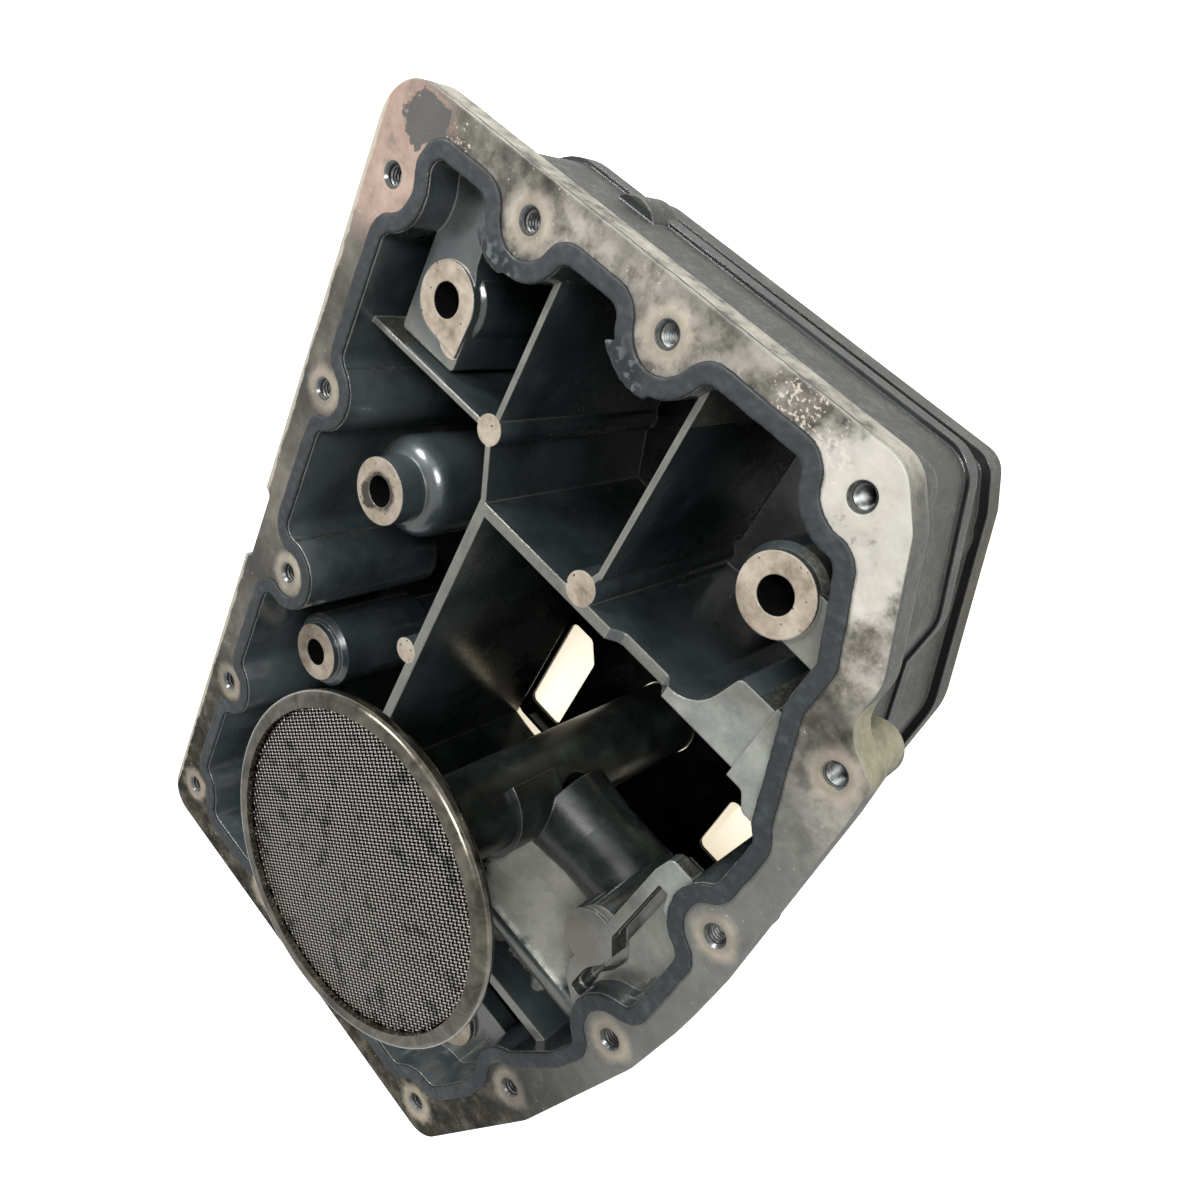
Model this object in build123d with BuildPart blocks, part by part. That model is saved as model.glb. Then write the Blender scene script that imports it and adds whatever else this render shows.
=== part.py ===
"""Upper engine oil pan: die-cast body with sealant bead, baffle plate and oil pick-up.

Frame: +Z up, millimetres. Z = 0 is the face that bolts to the engine block, and the top
flange takes the lower pan. X runs across the pan and Y along it, with the origin in the
middle of the block face.
"""
import os
from math import acos, atan2, cos, degrees, hypot, radians, sin

from build123d import *

os.makedirs("parts", exist_ok=True)

# ---- body sizes ----------------------------------------------------------------------
pan_width = 201.0            # lower-pan flange, across X
pan_length = 283.0           # lower-pan flange, along Y
pan_height = 112.0           # block face to lower-pan face
flange_thickness = 8.5
wall = 5.5                   # side wall round the opening
skirt_wall = 5.0             # side wall below the ledge
ledge_z = 54.5               # underside of the ledge between the two walls
ledge_thickness = 5.0
belt_lip = 1.4
block_lip = 3.0
block_flange_thickness = 9.0
pry_notch_depth = 2.6
pry_notch_length = 27.0
pry_notch_height = 4.5
pry_notch_y = -3.0

# ---- ribs and inner walls ------------------------------------------------------------
rib_drop = 6.0               # rib tops below the lower-pan face
rib_thickness = 1.7
window_wall = 3.4            # wall round the pick-up window
window_dip = 3.5             # the lowered stretch of that wall
front_wall_drop = 12.0
front_wall_width = 8.0
plateau_notch_radius = 11.84
wedge_drop = 2.6
shelf_drop = 14.0
shelf_thickness = 6.0

# ---- crank clearance -----------------------------------------------------------------
arch_radius = 160.0          # top of the arched floor, axis along Y
arch_top = 40.0
arch_thickness = 5.0

# ---- bolt holes ----------------------------------------------------------------------
bolt_edge = 10.5             # hole rows to flange edge
tap_radius = 2.6
tap_depth = 18.0
tap_chamfer = 0.8
boss_radius = 7.0
boss_depth = 21.0
boss_round = 13.7            # scallop of the opening round a tapped hole
small_boss_round = 12.0
opening_fillet = 4.0
bolt_hole_radius = 4.7       # long bolts through the pillars
pillar_radius = 10.0
pad_block_drop = 1.0         # cast block round the first pillar, below its bolt face
web_drop = 1.2               # web from the fourth pillar to the wall
ear_radius = 9.0
ear_hole_radius = 4.3
lug_radius = 9.0
lug_height = 12.0

# ---- oil channel beside the window ---------------------------------------------------
channel_drop = 4.0
channel_thickness = 10.0
channel_lip_length = 6.5     # thin end of the block
channel_lip_thickness = 4.5
groove_width = 3.2
groove_depth = 7.0
oil_hole_length = 8.0
recess_depth = 3.5
channel_pad_radius = 9.2
channel_pad_rise = 1.0
channel_column_radius = 8.0
pad_offset_x = 52.4          # pad's middle from the pick-up's
pad_offset_y = 7.9

# ---- pick-up -------------------------------------------------------------------------
pickup_x = 14.7
pickup_y = -23.5
pickup_rise = 35.5           # strainer plane above the lower-pan face
strainer_radius = 50.0
mesh_radius = 45.6
mesh_thickness = 1.0
rim_height = 4.6
rim_round = 1.8
sheet = 1.2                  # pressed steel of the strainer
bell_depth = 16.0
bell_neck = 8.0
mesh_pitch = 6.2
mesh_gap = 4.8
mesh_count = 15
tube_radius = 13.6
tube_wall = 1.6
branch_drop = 39.7           # branch axis below the lower-pan face
branch_radius = 14.2
branch_wall = 3.0
branch_root_radius = 15.8
saddle_clearance = 0.1
saddle_thickness = 2.2
saddle_half_angle = 72.0
saddle_half_length = 27.0
saddle_foot = 8.0            # the saddle's lower end over the branch axis
socket_clearance = 0.3
socket_wall = 3.4
socket_x = 66.0
branch_end_x = 83.0
seal_section = 2.0
seal_groove_depth = 1.7

# ---- baffle plate, screws, dowels, sealant -------------------------------------------
plate_z = 2.0
plate_thickness = 1.5
plate_hole_clearance = 0.4
plate_tab_length = 12.0
plate_tab_height = 7.0
screw_radius = 2.5
screw_head_radius = 4.6
screw_head_height = 1.6
screw_length = 10.0
post_radius = 6.0
dowel_radius = 6.6
dowel_length = 8.0
dowel_recess = 0.5
bead_width = 5.0
bead_height = 0.9
flap_thickness = 0.8         # squeezed-out sealant under two of the scallops

# ---- derived places ------------------------------------------------------------------
left = -pan_width / 2
right = pan_width / 2
back = pan_length / 2
front = -pan_length / 2
rib_top = pan_height - rib_drop
ledge_top = ledge_z + ledge_thickness
wall_left = left + 14.0      # inner faces of the straight walls
wall_back = back - 12.5
wall_front = front + 14.5
row_left = left + bolt_edge
row_back = back - bolt_edge
row_front = front + bolt_edge

window_left = -27.0          # middle of the window's left wall
window_back = 60.2           # middle of its back wall
window_front = -51.0
window_right = 79.0
front_rib_y = -64.0
plateau_left = 44.6
dip_left = 22.5              # lowered stretch of the window's back wall
dip_right = 44.0
channel_top = pan_height - channel_drop
channel_bottom = channel_top - channel_thickness
branch_z = pan_height - branch_drop
seal_x = branch_end_x - 6.0
strainer_z = pan_height + pickup_rise

# squeezed-out sealant as (tip, point on its free edge, blunt end, root on the scallop)
sealant_flaps = [
    ((-57.6, 121.6), (-53.4, 117.9), (-46.6, 116.2), (-43.8, 118.6)),
    ((-11.8, 121.2), (-5.4, 117.0), (4.2, 116.2), (5.4, 118.6)),
]

# corners are (x, y, corner radius)
flange_corners = [
    (left, front, 10), (left, back, 14), (right - 40, back, 10), (right - 31, back - 10, 8),
    (right - 17, back - 38, 12), (right - 17, back - 50.5, 9), (right - 5.5, back - 56.5, 3),
    (right - 4.2, back - 68, 8), (right, 9, 12), (right, -9, 12), (right - 2, -32, 20),
    (right - 14, -86, 20),
    (right - 36, front, 10),
]
opening_corners = [
    (wall_left, wall_front, 6), (wall_left, wall_back, 12.5), (54.5, wall_back, 5),
    (70, 98, 5), (70, 85, 5), (81, 56, 4), (84, 53, 3), (84, 33, 4), (88, 13, 5), (88, -15, 5),
    (84, -39, 5), (79, -55, 5), (67, -75, 5), (64, -100, 5), (54, -123, 5), (47, wall_front, 5),
]
block_corners = [
    (left + 3.5, front + 5.5, 14), (left + 3.5, back - 16.5, 16), (52, back - 16.5, 9),
    (60.5, 112.5, 10), (85, 57, 25), (88, 0, 30), (76, -85, 25), (58, front + 5.5, 14),
]
plateau_corners = [
    (plateau_left, window_back - window_wall / 2, 0), (90, window_back - window_wall / 2, 0),
    (90, 78.0, 0), (57.4, 78.0, 1.9), (55.0, 70.0, 0), (52.0, 65.0, 0), (plateau_left, 61.8, 0),
]
plateau_notch = (43.7, 73.6)
channel_corners = [
    (68.2, -6, 0), (69.4, 20.5, 0), (71.0, 27.0, 2.5), (95, 27.0, 0), (95, -39, 0),
    (74.5, -39, 0), (67.8, -33, 2), (66.2, -27, 0),
]
recess_corners = [
    (72.6, 17.6, 0.6), (75.8, 17.6, 0.6), (77.4, 12.9, 0), (81.4, 10.1, 2), (88.2, 7.2, 2),
    (88.2, -8.9, 3), (86.3, -17.3, 2), (84.0, -18.8, 1), (79.4, -22.0, 3), (75.6, -27.6, 1.5),
    (74.8, -34.4, 1.5), (70.6, -34.4, 1.5), (71.0, -25.0, 4), (76.4, -16.3, 2.5), (75.0, -11.8, 2),
    (71.4, -8.8, 1),
]
groove_path = [(74.2, 16.0), (73.2, -8.4), (76.6, -13.5), (75.4, -19.5), (72.8, -24.5), (72.8, -30.0)]
pad_block_corners = [
    (-78.8, 81.8, 1.2), (-56.9, 81.8, 1.2), (-56.9, 97.2, 6), (-62.0, 109.0, 3), (-64.0, 131.0, 0),
    (-78.8, 131.0, 0),
]
pad_corner = (-57.2, 86.0)
web_corners = [
    (50.0, 93.2, 0), (58.6, 91.7, 0.5), (68.3, 91.3, 0), (80.0, 91.3, 0), (80.0, 106.0, 0),
    (54.0, 106.0, 0),
]
wedge_corners = [(69, 81, 0), (69, 58.5, 0), (74, 58.5, 2), (77, 54, 2), (86, 54, 0), (86, 81, 0)]
shelf_corners = [(28, front, 0), (28, -87, 4), (90, -87, 0), (90, front, 0)]

# tapped holes as (x, y, scallop radius in the opening)
tapped_holes = [
    (row_left, 117.5, boss_round), (-44.2, row_back, boss_round), (1.7, row_back, boss_round),
    (57.1, row_back, boss_round), (87.7, 80.6, boss_round - 2), (91.5, 23.8, boss_round),
    (89.2, -31.3, boss_round), (76.5, -82.5, boss_round), (55.0, row_front, boss_round),
    (8.0, row_front, small_boss_round), (-39.5, row_front, small_boss_round),
    (row_left, -125.5, boss_round), (row_left, -67.4, small_boss_round),
    (row_left + 10, -7.6, small_boss_round), (row_left, 54.2, small_boss_round),
]

# pillars as (x, y, height of the bolt face)
pillars = [
    (-66.7, 97.2, pan_height - 8.5), (-62.3, 38.0, rib_top), (-72.1, -41.0, pan_height - 16),
    (52.6, 99.5, rib_top), (-60.0, -100.0, pan_height - 18), (44.0, -104.0, pan_height - 12),
]
# their shoulders as (radius, drop below the bolt face, rounding of the top edge), where a
# small rounding is cast as a bevel
small_rounding = 2.0
shoulder_sizes = [
    (11.0, 2.2, 1.5), (15.5, 9.0, 6.0), (13.0, 2.2, 1.5), (11.5, 2.2, 1.5), (13.0, 2.2, 1.5),
    (13.0, 2.2, 1.5),
]
dowel_pillars = [pillars[0], pillars[5]]

# block-side baffle plate
plate_corners = [
    (-44, -75, 7), (-44, 45, 7), (24, 78, 7), (42, 78, 7), (66, 50, 10), (72, -5, 20), (67, -75, 7),
]
plate_cutouts = [
    [(-38, -66, 3), (-38, -22, 3), (-27, -22, 3), (-21, -30, 3), (-21, -66, 3)],
    [(54, -54, 3), (54, -27, 3), (68, -27, 3), (66, -54, 3)],
]
plate_tab_x = -26.0
plate_tab_y = -69.0

# solid posts where the ribs meet, as (x, y, radius)
rib_posts = [(-35.4, 79.1, 4.2), (10.4, 64.2, 4.7), (-30.6, 3.0, 3.9)]
plate_posts = [(-36.0, 36.0), (-6.0, -67.0), (61.0, -66.0), (33.0, 69.0)]
block_ears = [(left + ear_radius, 64), (left + ear_radius, -62), (-28, front + ear_radius)]
outer_lug = (-51.0, back - 12.5)


def outline(corners, grow=0.0):
    """Closed outline with round corners, grown outward by `grow`."""
    with BuildSketch() as profile:
        with BuildLine():
            FilletPolyline([(x, y) for x, y, _ in corners], radius=[r for *_, r in corners],
                           close=True)
        make_face()
        if grow:
            offset(amount=grow)
    return profile.sketch


def opening():
    """The scalloped opening: the straight-walled outline less a disc at each tapped hole."""
    with BuildSketch() as profile:
        add(outline(opening_corners))
        for x, y, scallop in tapped_holes:
            with Locations((x, y)):
                Circle(scallop, mode=Mode.SUBTRACT)
        offset(amount=-opening_fillet)
        offset(amount=opening_fillet)
    return profile.sketch


def bar(start, end, thickness):
    """Plan of a straight rib from one centre point to the other."""
    run = Edge.make_line(start, end)
    middle = run @ 0.5
    angle = degrees(atan2(end[1] - start[1], end[0] - start[0]))
    with BuildSketch() as profile:
        with Locations(Location((middle.X, middle.Y, 0), (0, 0, angle))):
            Rectangle(run.length, thickness)
    return profile.sketch


def tipped_pad(centre, radius, tip):
    """Plan of a round pad drawn out to a corner."""
    reach = hypot(tip[0] - centre[0], tip[1] - centre[1])
    towards = degrees(atan2(tip[1] - centre[1], tip[0] - centre[0]))
    spread = degrees(acos(radius / reach))
    touches = [(centre[0] + radius * cos(radians(towards + side * spread)),
                centre[1] + radius * sin(radians(towards + side * spread))) for side in (-1, 1)]
    with BuildSketch() as profile:
        with Locations(centre):
            Circle(radius)
        Polygon(centre, touches[0], tip, touches[1], align=None)
    return profile.sketch


def rib_plan():
    """Plan of the ribs, the window's walls and the plateau."""
    post_a, post_b, post_c = rib_posts
    tie_x = post_b[0] + 3.0
    window_back_end = (plateau_left + 2, window_back)
    with BuildSketch() as profile:
        add(outline(plateau_corners))
        with Locations(plateau_notch):
            Circle(plateau_notch_radius, mode=Mode.SUBTRACT)
        add(bar((post_a[0] + 1, post_a[1]), (post_a[0] + 1, row_back), rib_thickness))
        add(bar((wall_left - wall / 2, post_a[1]), post_a[:2], rib_thickness))
        add(bar(post_a[:2], (window_left, window_back), rib_thickness))
        add(bar((tie_x, post_b[1] + 6), (tie_x, row_back), rib_thickness))
        add(bar(post_b[:2], (tie_x, post_b[1] + 7), rib_thickness))
        add(bar((window_left, front_rib_y), (window_left, window_back), window_wall))
        add(bar((window_left - window_wall / 2, window_back), window_back_end, window_wall))
        add(bar((window_left - window_wall / 2, front_rib_y), (right - 16, front_rib_y), window_wall))
        for x, y, radius in rib_posts:
            with Locations((x, y)):
                Circle(radius)
    return profile.sketch


opening_face = opening()
rib_face = rib_plan()
upper_clip = outline(opening_corners, wall / 2)
lower_clip = outline(block_corners, -block_lip - skirt_wall / 2)
block_cavity_face = outline(block_corners, -block_lip - skirt_wall)

# ---- crank clearance: the arched floor and the open space under it ---------------------
arch_plane = Plane.XZ.offset(-pan_length / 2)
arch_centre = (0, arch_top - arch_radius)
arch_underside = arch_radius - arch_thickness

with BuildPart() as crank_space:
    with BuildSketch(arch_plane):
        with Locations(arch_centre):
            Circle(arch_underside)
    extrude(amount=pan_length)
    with BuildSketch():
        add(block_cavity_face)
    extrude(amount=ledge_z, mode=Mode.INTERSECT)

with BuildPart() as arch_floor:
    with BuildSketch(arch_plane):
        with Locations(arch_centre):
            Circle(arch_radius)
            Circle(arch_underside, mode=Mode.SUBTRACT)
    extrude(amount=pan_length)
    with BuildSketch():
        add(lower_clip)
    extrude(amount=ledge_z, mode=Mode.INTERSECT)

# ---- shoulders of the pillars -----------------------------------------------------------
with BuildPart() as shoulders:
    for (x, y, face_z), (radius, drop, rounding) in zip(pillars, shoulder_sizes):
        with BuildSketch(Plane.XZ.offset(-y)):
            with Locations((x, ledge_z)):
                Rectangle(radius, face_z - drop - ledge_z, align=(Align.MIN, Align.MIN))
            soften = fillet if rounding > small_rounding else chamfer
            soften(vertices().group_by(Axis.Y)[-1].sort_by(Axis.X)[-1], rounding)
        revolve(axis=Axis((x, y, 0), (0, 0, 1)))
    with BuildSketch(Plane.XY.offset(ledge_z)):
        add(upper_clip)
    extrude(amount=pan_height - ledge_z, mode=Mode.INTERSECT)

# ---- die-cast body ---------------------------------------------------------------------
with BuildPart() as pan_casting:
    # outside: block flange, skirt, belt, upper walls, lower-pan flange
    with BuildSketch():
        add(outline(block_corners))
        with Locations(*block_ears):
            Circle(ear_radius)
    extrude(amount=block_flange_thickness)
    with BuildSketch():
        add(outline(block_corners, -block_lip))
    extrude(amount=ledge_top)
    with BuildSketch(Plane.XY.offset(ledge_z)):
        add(outline(opening_corners, wall + belt_lip))
    extrude(amount=ledge_thickness)
    with BuildSketch(Plane.XY.offset(ledge_top)):
        add(outline(opening_corners, wall))
    extrude(amount=pan_height - ledge_top)
    with BuildSketch(Plane.XY.offset(pan_height)):
        add(outline(flange_corners))
    extrude(amount=-flange_thickness)
    with BuildSketch(Plane.XY.offset(pan_height)):
        with Locations((left, pry_notch_y)):
            SlotOverall(pry_notch_length, 2 * pry_notch_depth, rotation=90)
    extrude(amount=-pry_notch_height, mode=Mode.SUBTRACT)
    with BuildSketch(Plane.XY.offset(pan_height)):
        with Locations(*[(x, y) for x, y, _ in tapped_holes]):
            Circle(boss_radius)
    extrude(amount=-boss_depth)
    with BuildSketch(Plane.XY.offset(ledge_z)):
        with Locations(outer_lug):
            Circle(lug_radius)
    extrude(amount=lug_height)

    # inside: the opening down to the ledge, the block cavity below it, the arched floor
    with BuildSketch(Plane.XY.offset(ledge_top)):
        add(opening_face)
    extrude(amount=pan_height - ledge_top, mode=Mode.SUBTRACT)
    with BuildSketch():
        add(block_cavity_face)
    extrude(amount=ledge_top, mode=Mode.SUBTRACT)
    add(arch_floor.part)

    # window for the pick-up
    with BuildSketch():
        with Locations(((window_left + window_right) / 2, (window_back + window_front) / 2)):
            Rectangle(window_right - window_left, window_back - window_front)
        add(block_cavity_face, mode=Mode.INTERSECT)
    extrude(amount=ledge_z, mode=Mode.SUBTRACT)

    # ribs, window walls and plateau, in the block cavity and in the opening
    with BuildSketch():
        add(rib_face)
        add(lower_clip, mode=Mode.INTERSECT)
    extrude(amount=ledge_top)
    with BuildSketch(Plane.XY.offset(ledge_top)):
        add(rib_face)
        add(upper_clip, mode=Mode.INTERSECT)
    extrude(amount=rib_top - ledge_top)

    # lowered stretch of the window's back wall
    with BuildSketch(Plane.XZ.offset(-window_back)):
        add(outline([(dip_left, rib_top + 1, 0), (dip_left + 0.5, rib_top, 1.5),
                     (dip_left + 3.5, rib_top - window_dip, 3), (dip_right - 2.5, rib_top - window_dip, 2),
                     (dip_right, rib_top, 1), (dip_right, rib_top + 1, 0)]))
    extrude(amount=window_wall, both=True, mode=Mode.SUBTRACT)

    # front wall of the window, lower than the rest and with a round top
    with BuildSketch(Plane.YZ.offset(window_left)):
        with Locations((window_front + window_wall / 2, 0)):
            Rectangle(front_wall_width, pan_height - front_wall_drop, align=(Align.MAX, Align.MIN))
        fillet(vertices().group_by(Axis.Y)[-1], radius=front_wall_width / 2.2)
    extrude(amount=window_right + wall - window_left)
    add(crank_space.part, mode=Mode.SUBTRACT)

    # shelf in the front corner, wedge beside the plateau, web of the fourth pillar
    with BuildSketch(Plane.XY.offset(pan_height - shelf_drop)):
        add(outline(shelf_corners))
        add(upper_clip, mode=Mode.INTERSECT)
    extrude(amount=-shelf_thickness)
    with BuildSketch(Plane.XY.offset(rib_top)):
        add(outline(wedge_corners))
        add(upper_clip, mode=Mode.INTERSECT)
    extrude(amount=rib_drop - wedge_drop)

    with BuildSketch(Plane.XY.offset(ledge_top)):
        add(outline(pad_block_corners))
        add(upper_clip, mode=Mode.INTERSECT)
    extrude(amount=pillars[0][2] - pad_block_drop - ledge_top)
    with BuildSketch(Plane.XY.offset(ledge_top)):
        add(outline(web_corners))
        add(upper_clip, mode=Mode.INTERSECT)
    extrude(amount=pillars[3][2] - web_drop - ledge_top)

    # pillars with their shoulders, down to the block face
    add(shoulders.part)
    for x, y, face_z in pillars:
        with BuildSketch():
            with Locations((x, y)):
                Circle(pillar_radius)
            add(outline(block_corners), mode=Mode.INTERSECT)
        extrude(amount=face_z)
    with BuildSketch(Plane.XY.offset(pillars[0][2])):
        add(tipped_pad(pillars[0][:2], pillar_radius, pad_corner))
    extrude(amount=-2 * pad_block_drop)
    with BuildSketch():
        with Locations(*plate_posts):
            Circle(post_radius)
    extrude(amount=arch_top - arch_thickness)
    with BuildSketch():
        with Locations(*plate_posts):
            Circle(post_radius + 1)
    extrude(amount=plate_z + plate_thickness, mode=Mode.SUBTRACT)

    # oil channel block with its pad, column and branch socket
    pad_place = (pickup_x + pad_offset_x, pickup_y + pad_offset_y)
    with BuildSketch(Plane.XY.offset(channel_top)):
        add(outline(channel_corners))
        add(upper_clip, mode=Mode.INTERSECT)
    extrude(amount=-channel_lip_thickness)
    with BuildSketch(Plane.XY.offset(channel_top)):
        add(outline(channel_corners))
        add(upper_clip, mode=Mode.INTERSECT)
        with Locations((right, channel_corners[2][1])):
            Rectangle(pan_width, 2 * channel_lip_length, mode=Mode.SUBTRACT)
    extrude(amount=-channel_thickness)
    with BuildSketch(Plane.XY.offset(channel_top)):
        with Locations(pad_place):
            Circle(channel_pad_radius)
    extrude(amount=-channel_thickness)
    with BuildSketch(Plane.XY.offset(channel_top - channel_pad_rise)):
        with Locations((pad_place[0] + 1, pad_place[1] + 4)):
            Circle(channel_column_radius)
    extrude(amount=branch_z - channel_top)
    socket_radius = branch_radius + socket_clearance
    with BuildSketch(Plane.YZ.offset(socket_x)):
        with Locations((pickup_y, branch_z)):
            Circle(socket_radius + socket_wall)
    extrude(amount=window_right + wall + 4 - socket_x)
    with BuildSketch(Plane.YZ.offset(branch_end_x + 1)):
        with Locations((pickup_y, branch_z)):
            Circle(socket_radius)
    extrude(amount=-(branch_end_x - pickup_x) / 2, mode=Mode.SUBTRACT)

    # recess, groove and oil hole in the channel block
    with BuildSketch(Plane.XY.offset(channel_top)):
        add(outline(recess_corners))
        add(opening_face, mode=Mode.INTERSECT)
    extrude(amount=-recess_depth, mode=Mode.SUBTRACT)
    with BuildSketch(Plane.XY.offset(channel_top)):
        with BuildLine():
            FilletPolyline(groove_path, radius=[2.5, 2.5, 3, 2.5])
        trace(line_width=groove_width)
    extrude(amount=-groove_depth, mode=Mode.SUBTRACT)
    hole_x, hole_y = groove_path[-1]
    with BuildSketch(Plane.XY.offset(channel_top)):
        with Locations((hole_x, hole_y)):
            SlotOverall(oil_hole_length, groove_width + 0.6, rotation=90)
    extrude(amount=1.5 - channel_thickness, mode=Mode.SUBTRACT)

    # holes: tapped, through the pillars, through the ears, dowels, screws
    for x, y, _ in tapped_holes:
        with Locations((x, y, pan_height)):
            Hole(tap_radius, tap_depth)
        with BuildSketch(Plane.XY.offset(pan_height)):
            with Locations((x, y)):
                Circle(tap_radius + tap_chamfer)
        extrude(amount=-tap_chamfer, taper=45, mode=Mode.SUBTRACT)
    for x, y, face_z in pillars:
        with Locations((x, y, face_z)):
            Hole(bolt_hole_radius, face_z)
    for x, y in block_ears:
        with Locations((x, y, block_flange_thickness)):
            Hole(ear_hole_radius, block_flange_thickness)
    for x, y, _ in dowel_pillars:
        with BuildSketch():
            with Locations((x, y)):
                Circle(dowel_radius)
        extrude(amount=dowel_length + dowel_recess, mode=Mode.SUBTRACT)
    for x, y in plate_posts:
        with BuildSketch(Plane.XY.offset(plate_z + plate_thickness)):
            with Locations((x, y)):
                Circle(screw_radius)
        extrude(amount=screw_length, mode=Mode.SUBTRACT)
pan_casting.part.label = "pan_casting"
export_step(pan_casting.part, "parts/pan_casting.step")

# ---- sealant bead along the opening, with two squeezed-out flaps ------------------------
with BuildPart() as sealant_bead:
    with BuildSketch(Plane.XY.offset(pan_height)):
        add(opening_face)
        offset(amount=bead_width)
        with Locations(*[(x, y) for x, y, _ in tapped_holes]):
            Circle(boss_round - bead_width - 1, mode=Mode.SUBTRACT)
        add(opening_face, mode=Mode.SUBTRACT)
    extrude(amount=bead_height)
    for tip, middle, end, root in sealant_flaps:
        with BuildSketch(Plane.XY.offset(pan_height - flap_thickness)):
            with BuildLine():
                ThreePointArc(tip, middle, end)
                Polyline(end, root, (root[0] - 1, root[1] + 3.5), (tip[0] + 1.8, tip[1] + 1.2), tip)
            make_face()
            add(opening_face, mode=Mode.INTERSECT)
        extrude(amount=flap_thickness + bead_height)
sealant_bead.part.label = "sealant_bead"
export_step(sealant_bead.part, "parts/sealant_bead.step")

# ---- baffle plate on the block side, its screws and the dowel sleeves -------------------
with BuildPart() as baffle_plate:
    with BuildSketch(Plane.XY.offset(plate_z)):
        add(outline(plate_corners))
        with Locations((pickup_x, pickup_y)):
            Circle(tube_radius + plate_hole_clearance, mode=Mode.SUBTRACT)
        for corners in plate_cutouts:
            add(outline(corners), mode=Mode.SUBTRACT)
        with Locations(*plate_posts):
            Circle(screw_radius + plate_hole_clearance, mode=Mode.SUBTRACT)
    extrude(amount=plate_thickness)
    with Locations((plate_tab_x, plate_tab_y, plate_z)):
        Box(plate_tab_length, plate_thickness, plate_tab_height,
            align=(Align.CENTER, Align.CENTER, Align.MIN))
baffle_plate.part.label = "baffle_plate"
export_step(baffle_plate.part, "parts/baffle_plate.step")

with BuildPart() as baffle_screws:
    with BuildSketch(Plane.XY.offset(plate_z)):
        with Locations(*plate_posts):
            Circle(screw_head_radius)
    extrude(amount=-screw_head_height)
    with BuildSketch(Plane.XY.offset(plate_z)):
        with Locations(*plate_posts):
            Circle(screw_radius)
    extrude(amount=screw_length)
baffle_screws.part.label = "baffle_screws"
export_step(baffle_screws.part, "parts/baffle_screws.step")

with BuildPart() as dowel_sleeves:
    with BuildSketch(Plane.XY.offset(dowel_recess)):
        with Locations(*[(x, y) for x, y, _ in dowel_pillars]):
            Circle(dowel_radius)
            Circle(bolt_hole_radius, mode=Mode.SUBTRACT)
    extrude(amount=dowel_length)
dowel_sleeves.part.label = "dowel_sleeves"
export_step(dowel_sleeves.part, "parts/dowel_sleeves.step")

# ---- strainer: rolled rim, mesh disc and pressed bell -----------------------------------
pickup_plane = Plane(origin=(pickup_x, pickup_y, strainer_z), x_dir=(1, 0, 0), z_dir=(0, -1, 0))
pickup_axis = Axis((pickup_x, pickup_y, 0), (0, 0, 1))
seat_radius = strainer_radius - sheet
rim_lip_radius = mesh_radius + 1.0
mesh_bottom = -mesh_thickness / 2
bell_flange_z = mesh_bottom - sheet
neck_radius = tube_radius + saddle_clearance + sheet / 2

with BuildPart() as strainer_rim:
    with BuildSketch(pickup_plane):
        with BuildLine():
            Polyline((mesh_radius, mesh_thickness / 2), (mesh_radius, rim_height / 2),
                     (strainer_radius, rim_height / 2), (strainer_radius, -rim_height / 2),
                     (rim_lip_radius, -rim_height / 2), (rim_lip_radius, bell_flange_z),
                     (seat_radius, bell_flange_z), (seat_radius, mesh_thickness / 2), close=True)
        make_face()
        fillet(vertices().filter_by_position(Axis.X, strainer_radius - 0.1, strainer_radius + 0.1),
               radius=rim_round)
    revolve(axis=pickup_axis)
strainer_rim.part.label = "strainer_rim"
export_step(strainer_rim.part, "parts/strainer_rim.step")

mesh_grid = GridLocations(mesh_pitch, mesh_pitch, mesh_count, mesh_count).locations
mesh_holes = [(pickup_x + place.position.X, pickup_y + place.position.Y) for place in mesh_grid
              if place.position.length < mesh_radius - mesh_gap]

with BuildPart() as strainer_mesh:
    with BuildSketch(Plane.XY.offset(strainer_z + mesh_bottom)):
        with Locations((pickup_x, pickup_y)):
            Circle(seat_radius)
        with Locations(*mesh_holes):
            Rectangle(mesh_gap, mesh_gap, mode=Mode.SUBTRACT)
    extrude(amount=mesh_thickness)
strainer_mesh.part.label = "strainer_mesh"
export_step(strainer_mesh.part, "parts/strainer_mesh.step")

with BuildPart() as strainer_bell:
    with BuildSketch(pickup_plane):
        with BuildLine():
            FilletPolyline((seat_radius, mesh_bottom - sheet / 2), (44, mesh_bottom - sheet / 2),
                           (38, -8), (20, -12), (neck_radius, -bell_depth),
                           (neck_radius, -bell_depth - bell_neck), radius=[3, 4, 6, 3])
        trace(line_width=sheet)
    revolve(axis=pickup_axis)
strainer_bell.part.label = "strainer_bell"
export_step(strainer_bell.part, "parts/strainer_bell.step")

# ---- pick-up tube and the branch elbow clasped on it ------------------------------------
tube_bottom = plate_z - 1.2
tube_top = strainer_z - bell_depth
tube_bore = tube_radius - tube_wall
branch_bore = branch_radius - branch_wall

with BuildPart() as pickup_tube:
    with BuildSketch(Plane.XY.offset(tube_bottom)):
        with Locations((pickup_x, pickup_y)):
            Circle(tube_radius)
            Circle(tube_bore, mode=Mode.SUBTRACT)
    extrude(amount=tube_top - tube_bottom)
    with BuildSketch(Plane.YZ.offset(pickup_x)):
        with Locations((pickup_y, branch_z)):
            Circle(branch_bore)
    extrude(amount=2 * tube_radius, mode=Mode.SUBTRACT)
pickup_tube.part.label = "pickup_tube"
export_step(pickup_tube.part, "parts/pickup_tube.step")


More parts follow.
